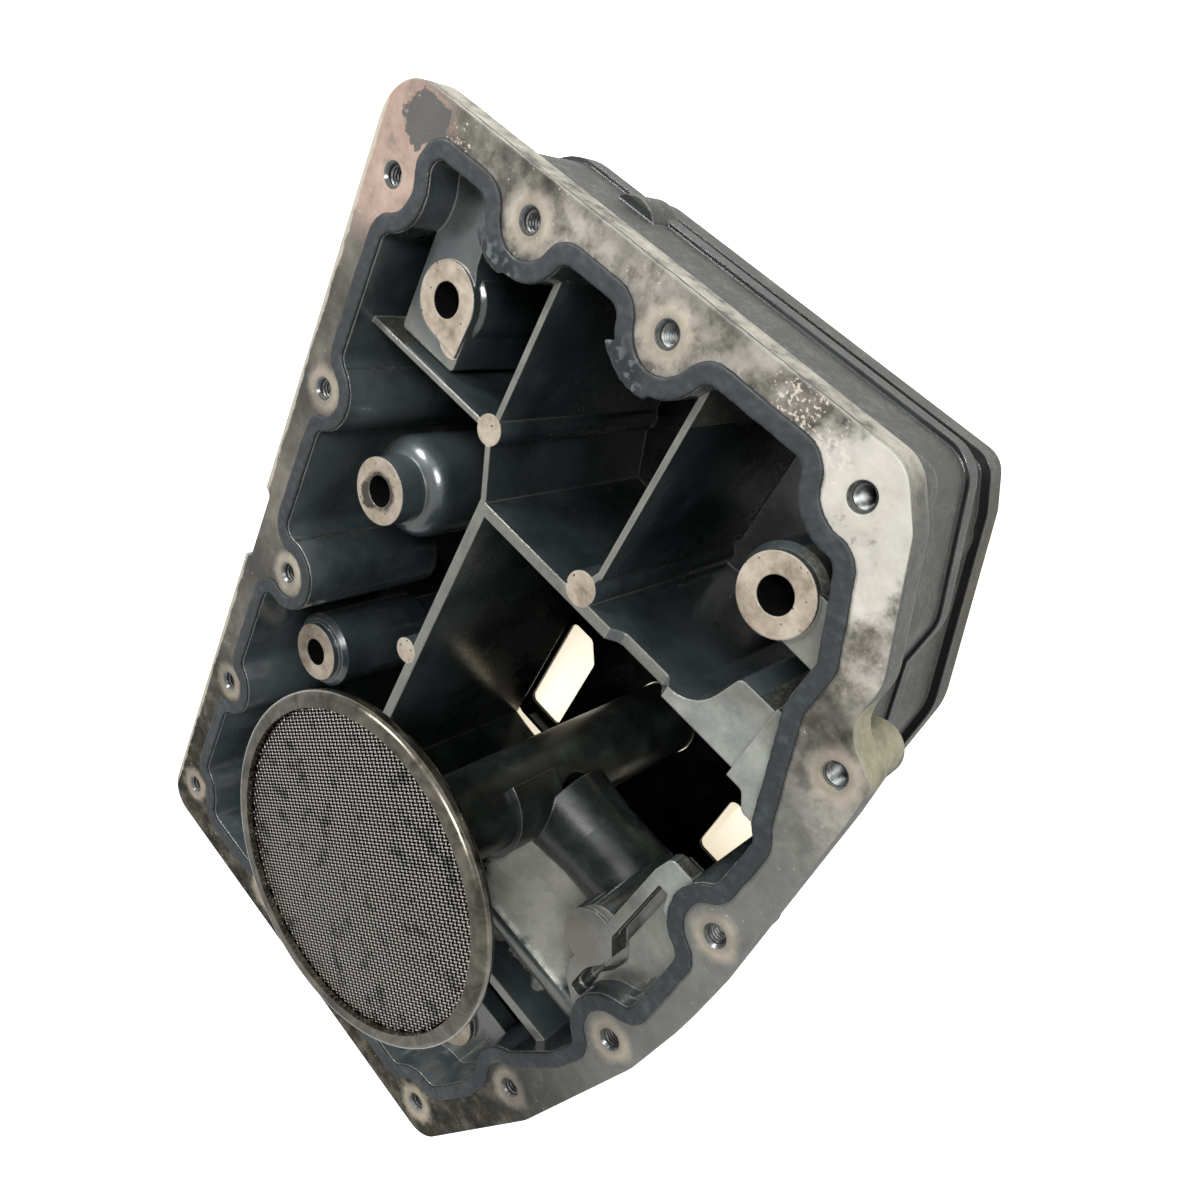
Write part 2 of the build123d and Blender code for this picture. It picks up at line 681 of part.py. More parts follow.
def saddle_sector(half_angle):
    """Plan of the saddle: a ring round the tube, open away from the branch."""
    reach = 3 * tube_radius
    edge_x = reach * cos(radians(half_angle))
    edge_y = reach * sin(radians(half_angle))
    with BuildSketch() as profile:
        Circle(tube_radius + saddle_clearance + saddle_thickness)
        Circle(tube_radius + saddle_clearance, mode=Mode.SUBTRACT)
        Polygon((0, 0), (edge_x, -edge_y), (reach, -edge_y), (reach, edge_y), (edge_x, edge_y),
                align=None, mode=Mode.INTERSECT)
    return profile.sketch


with BuildPart() as branch_elbow:
    with BuildSketch(Plane.XY.offset(branch_z + saddle_foot)):
        with Locations((pickup_x, pickup_y)):
            add(saddle_sector(saddle_half_angle))
    extrude(amount=saddle_half_length - saddle_foot)
    with BuildSketch(Plane.YZ.offset(pickup_x + tube_bore)):
        with Locations((pickup_y, branch_z)):
            Circle(branch_root_radius)
    with BuildSketch(Plane.YZ.offset(pickup_x + 2 * tube_radius)):
        with Locations((pickup_y, branch_z)):
            Circle(branch_radius)
    loft()
    with BuildSketch(Plane.YZ.offset(pickup_x + 2 * tube_radius)):
        with Locations((pickup_y, branch_z)):
            Circle(branch_radius)
    extrude(amount=branch_end_x - pickup_x - 2 * tube_radius)
    with BuildSketch(Plane.YZ.offset(pickup_x)):
        with Locations((pickup_y, branch_z)):
            Circle(branch_bore)
    extrude(amount=branch_end_x - pickup_x, mode=Mode.SUBTRACT)
    with BuildSketch(Plane.XY.offset(branch_z)):
        with Locations((pickup_x, pickup_y)):
            Circle(tube_radius + saddle_clearance)
    extrude(amount=2 * saddle_half_length, both=True, mode=Mode.SUBTRACT)
    with BuildSketch(Plane.YZ.offset(seal_x - seal_section / 2 - 0.2)):
        with Locations((pickup_y, branch_z)):
            Circle(branch_radius + 1)
            Circle(branch_radius - seal_groove_depth, mode=Mode.SUBTRACT)
    extrude(amount=seal_section + 0.4, mode=Mode.SUBTRACT)
branch_elbow.part.label = "branch_elbow"
export_step(branch_elbow.part, "parts/branch_elbow.step")

with BuildPart() as branch_seal:
    with BuildSketch(Plane(origin=(seal_x, pickup_y, branch_z), x_dir=(1, 0, 0), z_dir=(0, -1, 0))):
        with Locations((0, branch_radius - seal_groove_depth + seal_section / 2)):
            Circle(seal_section / 2)
    revolve(axis=Axis((0, pickup_y, branch_z), (1, 0, 0)))
branch_seal.part.label = "branch_seal"
export_step(branch_seal.part, "parts/branch_seal.step")
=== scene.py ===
# %% [markdown]
# # An upper engine oil pan with its oil pick-up
# The solids come from CAD and arrive as a fixed frame. This lesson dresses them: it makes
# the finishes of a used aluminium casting, weaves the wire mesh of the strainer, cuts the
# threads of the bolt holes, and sets up the light, the floor and the camera.

# %%
# Load the frame and keep its box
import math

import bpy
from mathutils import Matrix, Vector


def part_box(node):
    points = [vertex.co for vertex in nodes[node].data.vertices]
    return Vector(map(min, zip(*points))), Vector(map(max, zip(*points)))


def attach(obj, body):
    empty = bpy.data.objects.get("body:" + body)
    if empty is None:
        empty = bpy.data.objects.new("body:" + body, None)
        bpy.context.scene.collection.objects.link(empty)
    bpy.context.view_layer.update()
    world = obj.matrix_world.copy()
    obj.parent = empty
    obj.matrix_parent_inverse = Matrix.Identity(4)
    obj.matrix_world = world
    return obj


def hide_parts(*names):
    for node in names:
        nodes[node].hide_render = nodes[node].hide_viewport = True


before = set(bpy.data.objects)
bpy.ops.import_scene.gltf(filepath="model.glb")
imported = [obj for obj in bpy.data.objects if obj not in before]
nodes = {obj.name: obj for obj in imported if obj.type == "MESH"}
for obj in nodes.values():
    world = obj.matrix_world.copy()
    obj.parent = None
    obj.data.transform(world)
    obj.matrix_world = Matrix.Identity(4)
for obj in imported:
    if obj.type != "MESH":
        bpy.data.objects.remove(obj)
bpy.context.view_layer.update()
MM = 0.001
MM_PER_M = 1000.0
FLANGE_Z = 112.0
print("nodes:", sorted(nodes))

# %% [markdown]
# ## Camera
# The camera looks down from above the far right corner of the pan, and is rolled to one
# side. Its place and its three axes are given in the frame of the part.

# %%
# Camera above the far right corner
camera_place = Vector((108.38, 198.25, 294.76)) * MM
camera_right = Vector((0.66256, 0.43331, -0.61094))
camera_up = Vector((-0.66813, 0.71060, -0.22059))
camera_back = Vector((0.33855, 0.55434, 0.76032))
camera_data = bpy.data.cameras.new("camera")
camera_data.sensor_width = 36.0
camera_data.lens = 30.05
camera_data.shift_x = -0.0094
camera_data.shift_y = 0.0298
camera_data.clip_start = 0.01
camera = bpy.data.objects.new("camera", camera_data)
bpy.context.scene.collection.objects.link(camera)
turn = Matrix((camera_right, camera_up, camera_back)).transposed()
camera.matrix_world = Matrix.Translation(camera_place) @ turn.to_4x4()
bpy.context.scene.camera = camera
print("camera at", [round(value, 3) for value in camera.location])

# %% [markdown]
# ## Helpers for the finishes
# Colours are written as the hex codes a painter would pick on screen, so one function
# turns them to the linear values that the shader works with. A second function adds a
# node with its settings and links: an input is given as a plain value, a socket, or a
# node whose first output is wanted. Nodes could be placed by hand in the editor, but a
# finish with hundreds of them is easier to read and to change as a list. A Mix node takes
# its factor at socket 0, two plain values at 2 and 3, and two colours at 6 and 7. Object
# coordinates are in metres, so a noise with lumps of a given size in mm has a scale of
# MM_PER_M divided by that size.


# %%
# Colours from hex codes
def linear(code):
    """Linear colour of an sRGB hex code such as 4a4f52."""
    values = []
    for start in (0, 2, 4):
        value = int(code[start:start + 2], 16) / 255
        values.append(value / 12.92 if value <= 0.04045 else ((value + 0.055) / 1.055) ** 2.4)
    return (*values, 1.0)


print("a mid grey is", [round(value, 3) for value in linear("808080")])


# %%
# A new finish, and a node added to it
def new_finish(name):
    """An empty node material."""
    finish = bpy.data.materials.new(name)
    finish.use_nodes = True
    finish.node_tree.nodes.clear()
    return finish


def add(finish, kind, inputs=None, stops=None, **settings):
    """Adds a node with its settings and links. Stops are those of a colour ramp."""
    made = finish.node_tree.nodes.new("ShaderNode" + kind)
    for key, value in settings.items():
        setattr(made, key, value)
    for key, value in (inputs or {}).items():
        if isinstance(value, bpy.types.Node):
            value = next(socket for socket in value.outputs if socket.enabled)
        if isinstance(value, bpy.types.NodeSocket):
            finish.node_tree.links.new(value, made.inputs[key])
        else:
            made.inputs[key].default_value = value
    if stops:
        elements = made.color_ramp.elements
        while len(elements) < len(stops):
            elements.new(0.5)
        for element, (position, colour) in zip(elements, stops):
            element.position = position
            element.color = linear(colour)
    return made


# %% [markdown]
# ## Places on the casting
# The finish of a casting changes from face to face: the two machined faces and the bolt
# faces are pale, the inside is dark with old oil, and the outside is rough. Its faces could
# be picked by hand and given a material each, but the zones fade into each other. The
# shader finds them by their place instead, so the places are listed in millimetres. A zone
# is a few balls, each given by its middle and its radius.

# %%
# Bolt holes, bolt faces and the middle of the side walls
bolt_holes = [(-90, 117.5), (-44.2, 131), (1.7, 131), (57.1, 131), (87.7, 80.6), (91.5, 23.8),
              (89.2, -31.3), (76.5, -82.5), (55, -131), (8, -131), (-39.5, -131), (-90, -125.5),
              (-90, -67.4), (-80, -7.6), (-90, 54.2)]
bolt_faces = [(-66.7, 97.2, 103.5, 10.3), (-60.6, 89.8, 103.5, 5.6), (-62.3, 38, 106, 10.3),
              (-72.1, -41, 96, 10.3), (52.6, 99.5, 106, 10.3), (-60, -100, 94, 10.3),
              (44, -104, 100, 10.3), (-35.4, 79.1, 106, 4.4), (10.4, 64.2, 106, 4.9),
              (-30.6, 3, 106, 4.1)]
wall_middle = [(-89.2, -129.8), (-89.2, 131.7), (57, 131.7), (73.5, 101), (86, 57), (91, 0),
               (87, -42), (69, -78), (66, -101), (50, -129.8)]
print(len(bolt_holes), "bolt holes,", len(bolt_faces), "bolt faces and posts")

# %% [markdown]
# ## Used die-cast aluminium
# One material dresses the whole casting. Die-cast aluminium is a grey metal with a fine
# skin, and here it has had years of hot oil: inside it is nearly black and shiny, from oil
# and from painted shade, on the machined faces it is bare, pale and blotched, and outside it
# is dull and dirty. Edges get a paler painted highlight. The first cells make masks, which
# are 1 in a zone and 0 outside it.

# %%
# Place, height and the way a face looks
cast = new_finish("used_die_cast_aluminium")
where = add(cast, "TexCoord").outputs["Object"]
place = add(cast, "VectorMath", {0: where, "Scale": MM_PER_M}, operation="SCALE").outputs[0]
axes = add(cast, "SeparateXYZ", {0: place}).outputs
flat_place = add(cast, "CombineXYZ", {0: axes["X"], 1: axes["Y"]})
surface = add(cast, "NewGeometry").outputs["Normal"]
facing = add(cast, "SeparateXYZ", {0: surface}).outputs
looks_up = add(cast, "Math", {0: facing["Z"], 1: 0.9}, operation="GREATER_THAN")
looks_down = add(cast, "MapRange", {"Value": facing["Z"], "From Min": -0.2, "From Max": -0.6})
looks_back = add(cast, "Math", {0: facing["Y"], 1: 0.7}, operation="GREATER_THAN")
print("places come from", len(cast.node_tree.nodes), "nodes")

# %%
# How deep a point lies in some balls
def spots(finish, place, centres):
    """How deep a point lies inside the nearest of some balls (x, y, z, radius), in mm."""
    depth = None
    for x, y, z, radius in centres:
        away = add(finish, "VectorMath", {0: place, 1: (x, y, z)}, operation="DISTANCE")
        inside = add(finish, "Math", {0: radius, 1: away.outputs["Value"]}, operation="SUBTRACT")
        depth = inside if depth is None else add(
            finish, "Math", {0: depth, 1: inside}, operation="MAXIMUM")
    return depth


# %%
# Machined faces: the lower-pan face and the bolt faces
face_skin = 0.3
at_flange = add(cast, "Math", {0: axes["Z"], 1: FLANGE_Z - face_skin}, operation="GREATER_THAN")
flange_face = add(cast, "Math", {0: looks_up, 1: at_flange}, operation="MULTIPLY")
spot_depth = spots(cast, place, bolt_faces)
in_spot = add(cast, "Math", {0: spot_depth, 1: 0.0}, operation="GREATER_THAN")
bolt_face = add(cast, "Math", {0: looks_up, 1: in_spot}, operation="MULTIPLY")
bright = add(cast, "Math", {0: flange_face, 1: bolt_face}, operation="MAXIMUM")
print("machined faces above", FLANGE_Z - face_skin, "mm and in", len(bolt_faces), "balls")

# %%
# How far a point lies outside an outline
def beyond(finish, place, corners):
    """How far a point lies outside a convex outline of (x, y) corners, in mm."""
    far = None
    for (x0, y0), (x1, y1) in zip(corners, corners[1:] + corners[:1]):
        run = math.hypot(x1 - x0, y1 - y0)
        out = ((y0 - y1) / run, (x1 - x0) / run, 0)
        along = add(finish, "VectorMath", {0: place, 1: out}, operation="DOT_PRODUCT")
        edge = add(finish, "Math", {0: along.outputs["Value"], 1: out[0] * x0 + out[1] * y0},
                   operation="SUBTRACT")
        far = edge if far is None else add(finish, "Math", {0: far, 1: edge}, operation="MAXIMUM")
    return far


# %%
# Outer walls: they look away from the middle, and stand further out below the belt
belt_top = 52.0
belt_foot = 48.0
reach_above = 16.0
reach_below = 26.0
outward = beyond(cast, place, wall_middle)
spread = add(cast, "VectorMath", {0: flat_place, 1: surface}, operation="DOT_PRODUCT")
faces_out = add(cast, "Math", {0: spread.outputs["Value"], 1: 8.0}, operation="GREATER_THAN")
reach = add(cast, "MapRange", {"Value": axes["Z"], "From Min": belt_top, "From Max": belt_foot,
                               "To Min": reach_above, "To Max": reach_below})
at_wall = add(cast, "Math", {0: outward, 1: reach}, operation="ADD")
at_wall = add(cast, "Math", {0: at_wall, 1: 0.0}, operation="GREATER_THAN")
outer_wall = add(cast, "Math", {0: faces_out, 1: at_wall}, operation="MULTIPLY")
print("outer walls change at the belt, between", belt_foot, "and", belt_top, "mm")

# %%
# Outside: the outer walls, the ledges beyond them and the block side
under_flange_z = 95.0
past_wall = add(cast, "Math", {0: outward, 1: 5.0}, operation="GREATER_THAN")
under_flange = add(cast, "Math", {0: axes["Z"], 1: under_flange_z}, operation="LESS_THAN")
ledge = add(cast, "Math", {0: past_wall, 1: under_flange}, operation="MULTIPLY")
outside = add(cast, "Math", {0: outer_wall, 1: ledge}, operation="MAXIMUM")
outside = add(cast, "Math", {0: outside, 1: looks_down}, operation="MAXIMUM")
print("zones found with", len(cast.node_tree.nodes), "nodes")

# %%
# Edges, where a rounded normal turns away from the real one
edge_width = 0.7
soft_normal = add(cast, "Bevel", {"Radius": edge_width * MM}, samples=4)
kept = add(cast, "VectorMath", {0: soft_normal, 1: surface}, operation="DOT_PRODUCT")
edge = add(cast, "MapRange", {"Value": kept.outputs["Value"], "From Min": 0.985,
                              "From Max": 0.86})
print("edges are", edge_width, "mm wide")

# %%
# Lumps of several sizes: fine skin, smears, wide stains and pits
skin_lump = 0.9
smear_lump = 8
stain_lump = 30
pit_spacing = 2.6
skin = add(cast, "TexNoise", {"Vector": where, "Scale": MM_PER_M / skin_lump, "Detail": 4.0})
smear = add(cast, "TexNoise", {"Vector": where, "Scale": MM_PER_M / smear_lump, "Detail": 8.0,
                               "Roughness": 0.7})
stain = add(cast, "TexNoise", {"Vector": where, "Scale": MM_PER_M / stain_lump, "Detail": 6.0,
                               "Roughness": 0.62})
pits = add(cast, "TexVoronoi", {"Vector": where, "Scale": MM_PER_M / pit_spacing}, feature="F1")
print("masks made with", len(cast.node_tree.nodes), "nodes")

# %% [markdown]
# ## Oil-dark inside, with painted light and shade
# The inner walls of the real pan are stained by years of hot oil, and a ramp by height
# darkens them towards the bottom as painted shade of the deep cavity. They could be painted
# by hand, but a ramp by height gives every wall the same fade at once and keeps its place
# when a size changes. The left side gets painted light, the upward faces of the ledges near
# the top are painted paler as painted light, one ledge is tarred, and a wall that faces the
# lamp gets a pale patch of painted light.

# %%
# Oil colour with painted shade by depth, and painted light on the left side
height = add(cast, "MapRange", {"Value": axes["Z"], "From Min": 30.0, "From Max": 109.0})
oil_and_depth_shade = add(cast, "ValToRGB", {"Fac": height},
           stops=[(0.0, "0c0e0e"), (0.45, "171b1c"), (0.8, "2b3233"), (1.0, "4a5152")])
lit = add(cast, "ValToRGB", {"Fac": height},
          stops=[(0.0, "1c2122"), (0.5, "343b3e"), (1.0, "545c5f")])
lit_side = add(cast, "MapRange", {"Value": axes["X"], "From Min": -45.0, "From Max": -70.0,
                                  "To Max": 0.65})
lit_length = add(cast, "MapRange", {"Value": axes["Y"], "From Min": 76.0, "From Max": 60.0})
lit_side = add(cast, "Math", {0: lit_side, 1: lit_length}, operation="MULTIPLY")
oil_and_depth_shade = add(cast, "Mix", {0: lit_side, 6: oil_and_depth_shade, 7: lit}, data_type="RGBA")
inner_blotch = add(cast, "ValToRGB", {"Fac": stain}, stops=[(0.38, "8d9396"), (0.62, "ffffff")])
inner = add(cast, "Mix", {0: 0.8, 6: oil_and_depth_shade, 7: inner_blotch}, data_type="RGBA",
            blend_type="MULTIPLY")
print("inner walls:", len(cast.node_tree.nodes), "nodes so far")

# %%
# Ledges near the top: painted light on upward faces, dimmed round pillar 1, stronger on the right,
# tarred on the pad; 0 where height is no matter
shelf_foot = 96.0
shelf_top = 101.0
dimmed_shelf = [(-66, 100, 0, 18), (-70, 112, 0, 15)]
lit_right_shelf = [(70, 42, 0, 34)]
tarred_pad = [(64, -20, 108, 8.5), (58, -28, 108, 6)]
high = add(cast, "MapRange", {"Value": axes["Z"], "From Min": shelf_foot, "From Max": shelf_top})
shelf_light = add(cast, "Math", {0: looks_up, 1: high}, operation="MULTIPLY")
dimmed_depth = spots(cast, flat_place, dimmed_shelf)
undimmed = add(cast, "MapRange", {"Value": dimmed_depth, "From Min": 3.0, "From Max": -1.0,
                             "To Min": 0.12})
shelf_light = add(cast, "Math", {0: shelf_light, 1: undimmed}, operation="MULTIPLY")
shelf_light_and_tar_colour = add(cast, "ValToRGB", {"Fac": smear}, stops=[(0.34, "484945"), (0.66, "67675f")])
# The ledges on the right get a paler painted light
lit_right_depth = spots(cast, flat_place, lit_right_shelf)
pale = add(cast, "MapRange", {"Value": lit_right_depth, "From Min": 0.0, "From Max": 6.0})
lit_right_colour = add(cast, "ValToRGB", {"Fac": smear}, stops=[(0.34, "5f625d"), (0.66, "7f817b")])
shelf_light_and_tar_colour = add(cast, "Mix", {0: pale, 6: shelf_light_and_tar_colour, 7: lit_right_colour}, data_type="RGBA")
tar_depth = spots(cast, place, tarred_pad)
tarred = add(cast, "MapRange", {"Value": tar_depth, "From Min": 0.0, "From Max": 2.0,
                                "To Max": 0.75})
shelf_light_and_tar_colour = add(cast, "Mix", {0: tarred, 6: shelf_light_and_tar_colour, 7: linear("574e44")},
                   data_type="RGBA")
inner = add(cast, "Mix", {0: shelf_light, 6: inner, 7: shelf_light_and_tar_colour}, data_type="RGBA")
print("ledges from", shelf_foot, "mm up:", len(cast.node_tree.nodes), "nodes so far")

# %%
# A ragged edge for a zone
def ragged(finish, depth, lumps, size):
    """A depth with lumps of some size added, so that a mask made from it has a torn edge."""
    lump = add(finish, "Math", {0: lumps, 1: size}, operation="MULTIPLY")
    return add(finish, "Math", {0: depth, 1: lump}, operation="ADD")


# %%
# Painted light: a pale patch on the wall of the oil channel that faces the lamp
lamp_facing_wall = [(40, -49, 80, 22), (56, -49, 84, 18), (30, -49, 62, 16)]
lamp_facing_depth = ragged(cast, spots(cast, place, lamp_facing_wall), smear, 16.0)
lamp_facing_light = add(cast, "MapRange", {"Value": lamp_facing_depth, "From Min": 8.0, "From Max": 12.0})
lamp_facing_light = add(cast, "Math", {0: lamp_facing_light, 1: looks_back}, operation="MULTIPLY")
lamp_facing_colour = add(cast, "ValToRGB", {"Fac": stain}, stops=[(0.35, "8f8f86"), (0.62, "c4c4ba")])
inner = add(cast, "Mix", {0: lamp_facing_light, 6: inner, 7: lamp_facing_colour}, data_type="RGBA")
print("washed wall:", len(cast.node_tree.nodes), "nodes so far")

# %% [markdown]
# ## Rough outside
# The outer walls of the real pan are dark and grainy, from the mould and from road dirt.
# Two noises mixed give both the smears and the grain. The side of the lower-pan flange is
# painted cream as painted light where the lamp falls on it, with a crack of old sealant
# along its edge, and one boss is olive. These are masks by place, so they need no mesh of
# their own.

# %%
# Grainy walls, and painted light on the side of the flange
side_foot = 103.0
grains = add(cast, "Mix", {0: 0.45, 2: smear, 3: skin}, data_type="FLOAT")
outer = add(cast, "ValToRGB", {"Fac": grains},
            stops=[(0.36, "11120f"), (0.5, "22241f"), (0.62, "41433b")])
side_low = add(cast, "MapRange", {"Value": axes["Z"], "From Min": side_foot,
                                  "From Max": side_foot + 0.6})
side_far = add(cast, "MapRange", {"Value": outward, "From Min": 3.0, "From Max": 4.0})
flange_side_light = add(cast, "Math", {0: side_low, 1: side_far}, operation="MULTIPLY")
side_fade = add(cast, "MapRange", {"Value": axes["X"], "From Min": 58.0, "From Max": 68.0,
                                   "To Min": 1.0, "To Max": 0.08})
flange_side_light = add(cast, "Math", {0: flange_side_light, 1: side_fade}, operation="MULTIPLY")
flange_side_light_colour = add(cast, "ValToRGB", {"Fac": smear},
                  stops=[(0.36, "35332c"), (0.46, "757266"), (0.66, "9d998b")])
outer = add(cast, "Mix", {0: flange_side_light, 6: outer, 7: flange_side_light_colour}, data_type="RGBA")
print("flange side from", side_foot, "mm up:", len(cast.node_tree.nodes), "nodes so far")

# %%
# Crack of old sealant, and the olive boss
crack_z = 111.9
olive_boss = [(86.2, 86.4, 106, 12), (86.2, 86.4, 96, 10)]
crack_height = ragged(cast, axes["Z"], smear, 2.4)
crack_away = add(cast, "Math", {0: crack_height, 1: crack_z}, operation="SUBTRACT")
crack_away = add(cast, "Math", {0: crack_away}, operation="ABSOLUTE")
crack_band = add(cast, "MapRange", {"Value": crack_away, "From Min": 0.5, "From Max": 0.3})
crack_parts = add(cast, "MapRange", {"Value": stain, "From Min": 0.4, "From Max": 0.46})
crack = add(cast, "Math", {0: crack_band, 1: crack_parts}, operation="MULTIPLY")
outer = add(cast, "Mix", {0: crack, 6: outer, 7: linear("1d1d1a")}, data_type="RGBA")
olive_depth = spots(cast, place, olive_boss)
olive = add(cast, "MapRange", {"Value": olive_depth, "From Min": 0.0, "From Max": 1.5})
olive_colour = add(cast, "ValToRGB", {"Fac": smear}, stops=[(0.35, "57553f"), (0.6, "7f7b64")])
outer = add(cast, "Mix", {0: olive, 6: outer, 7: olive_colour}, data_type="RGBA")
base = add(cast, "Mix", {0: outside, 6: inner, 7: outer}, data_type="RGBA")
print("inside and outside made with", len(cast.node_tree.nodes), "nodes")

# %% [markdown]
# ## The lower-pan face
# This face is bare metal, milled flat so that it seals. It is the first thing one sees, so
# it gets the most care. It is painted in layers, in the order in which dirt came to the
# real face: brown bloom, a grey film on both sides, soot at the front end, cream rings
# where bolt heads kept it clean, a pink corner, and a few places with their own story.

# %%
# Bare metal with brown bloom, greyer on the left, filmed on the right and sooty in front
bare = add(cast, "ValToRGB", {"Fac": stain},
           stops=[(0.36, "3e3d37"), (0.46, "6a675f"), (0.54, "8f8b82"), (0.66, "b6b1a5")])
bloom = add(cast, "ValToRGB", {"Fac": smear}, stops=[(0.38, "6b675e"), (0.54, "ffffff")])
bare = add(cast, "Mix", {0: 0.7, 6: bare, 7: bloom}, data_type="RGBA", blend_type="MULTIPLY")
left_side = add(cast, "MapRange", {"Value": axes["X"], "From Min": -76.0, "From Max": -84.0,
                                   "To Max": 0.85})
left_tone = add(cast, "ValToRGB", {"Fac": stain}, stops=[(0.38, "45443f"), (0.62, "6d6960")])
bare = add(cast, "Mix", {0: left_side, 6: bare, 7: left_tone}, data_type="RGBA")
grey_side = add(cast, "MapRange", {"Value": axes["Y"], "From Min": 90.0, "From Max": 50.0,
                                   "To Max": 0.84})
right_side = add(cast, "MapRange", {"Value": axes["X"], "From Min": 20.0, "From Max": 45.0})
dull = add(cast, "Math", {0: grey_side, 1: right_side}, operation="MULTIPLY")
bare = add(cast, "Mix", {0: dull, 6: bare, 7: linear("6c6e6b")}, data_type="RGBA")
sooty = add(cast, "MapRange", {"Value": axes["Y"], "From Min": -40.0, "From Max": -100.0,
                               "To Max": 0.93})
soot = add(cast, "ValToRGB", {"Fac": smear},
           stops=[(0.36, "1a1916"), (0.5, "36342d"), (0.62, "5e594e")])
bare = add(cast, "Mix", {0: sooty, 6: bare, 7: soot}, data_type="RGBA")
print("bare metal:", len(cast.node_tree.nodes), "nodes so far")

# %%
# Rings round the tapped holes: cream, burnt at the rim
ring_radius = 10.0
ring_depth = spots(cast, flat_place, [(x, y, 0, ring_radius) for x, y in bolt_holes])
halo_depth = ragged(cast, ring_depth, smear, 5.0)
halo = add(cast, "MapRange", {"Value": halo_depth, "From Min": 4.0, "From Max": 8.2,
                              "To Max": 0.75}, interpolation_type="SMOOTHSTEP")
halo_tone = add(cast, "ValToRGB", {"Fac": stain}, stops=[(0.38, "948d80"), (0.62, "c9bda9")])
bare = add(cast, "Mix", {0: halo, 6: bare, 7: halo_tone}, data_type="RGBA")
burnt = add(cast, "MapRange", {"Value": ring_depth, "From Min": 4.6, "From Max": 6.8,
                               "To Max": 0.55})
bare = add(cast, "Mix", {0: burnt, 6: bare, 7: linear("6b6259")}, data_type="RGBA")
print(len(bolt_holes), "rings:", len(cast.node_tree.nodes), "nodes so far")

# %%
# Pink corner with its dark patch
pink_corner = [(-93, 122, 0, 26)]
dark_patch = [(-87, 133.5, 0, 6.5), (-81, 134, 0, 5.5), (-76, 133, 0, 3)]
pink_depth = spots(cast, flat_place, pink_corner)
pink = add(cast, "MapRange", {"Value": pink_depth, "From Min": 0.0, "From Max": 10.0,
                              "To Max": 0.8})
pink_tone = add(cast, "ValToRGB", {"Fac": smear},
                stops=[(0.34, "8a7c71"), (0.46, "b09789"), (0.64, "bfa598")])
bare = add(cast, "Mix", {0: pink, 6: bare, 7: pink_tone}, data_type="RGBA")
patch_depth = ragged(cast, spots(cast, flat_place, dark_patch), smear, 14.0)
patch = add(cast, "MapRange", {"Value": patch_depth, "From Min": 7.0, "From Max": 7.4,
                               "To Max": 0.92})
bare = add(cast, "Mix", {0: patch, 6: bare, 7: linear("525352")}, data_type="RGBA")
print("pink corner:", len(cast.node_tree.nodes), "nodes so far")

# %%
# Pale flecks and the scraped left edge
flecked_edge = [(36, 137, 0, 9), (47, 133, 0, 8), (-72, 134, 0, 6)]
fleck_depth = spots(cast, flat_place, flecked_edge)
fleck_area = add(cast, "MapRange", {"Value": fleck_depth, "From Min": 0.0, "From Max": 5.0,
                                    "To Max": 0.16})
flecks = add(cast, "Math", {0: skin, 1: fleck_area}, operation="ADD")
flecks = add(cast, "MapRange", {"Value": flecks, "From Min": 0.7, "From Max": 0.74,
                                "To Max": 0.75})
bare = add(cast, "Mix", {0: flecks, 6: bare, 7: linear("d6cbbb")}, data_type="RGBA")
near_edge = ragged(cast, axes["X"], smear, -3.5)
scraped = add(cast, "MapRange", {"Value": near_edge, "From Min": -100.7, "From Max": -101.3,
                                 "To Max": 0.85})
bare = add(cast, "Mix", {0: scraped, 6: bare, 7: linear("bfb9a9")}, data_type="RGBA")
print("flecks in", len(flecked_edge), "places")

# %%
# Clean corner, and the face put on the casting
clean_corner = [(59, 129, 0, 19), (66, 118, 0, 12)]
clean_depth = ragged(cast, spots(cast, flat_place, clean_corner), smear, 14.0)
clean_face = add(cast, "MapRange", {"Value": clean_depth, "From Min": 6.0, "From Max": 12.0,
                                    "To Max": 0.8})
clean_tone = add(cast, "ValToRGB", {"Fac": smear},
                 stops=[(0.33, "77746c"), (0.42, "c9c5ba"), (0.64, "dad6cc")])
bare = add(cast, "Mix", {0: clean_face, 6: bare, 7: clean_tone}, data_type="RGBA")
bare = add(cast, "Mix", {0: 1.0, 6: bare, 7: linear("dadada")}, data_type="RGBA",
           blend_type="MULTIPLY")
base = add(cast, "Mix", {0: flange_face, 6: base, 7: bare}, data_type="RGBA")
print("lower-pan face made with", len(cast.node_tree.nodes), "nodes")

# %% [markdown]
# ## Bolt faces and holes
# A cutter has levelled the ends of the pillars for their bolt heads and left pale rings.
# They are beige and pitted, and two of them carry burnt grime. Each lies in a ball round
# its middle, which is simpler than picking faces. Holes are dark, since they get no light.

# %%
# Painted shade in the bores of the pillars, which have the widest bolt faces
least_bored = 10.0
bore_radius = 5.0
bores = [(x, y, 0, bore_radius) for x, y, _, radius in bolt_faces if radius > least_bored]
bore_depth = spots(cast, flat_place, bores)
bore_shade = add(cast, "Math", {0: bore_depth, 1: 0.0}, operation="GREATER_THAN")
base = add(cast, "Mix", {0: bore_shade, 6: base, 7: linear("0d0d0c")}, data_type="RGBA")
print(len(bores), "pillars have a bore")

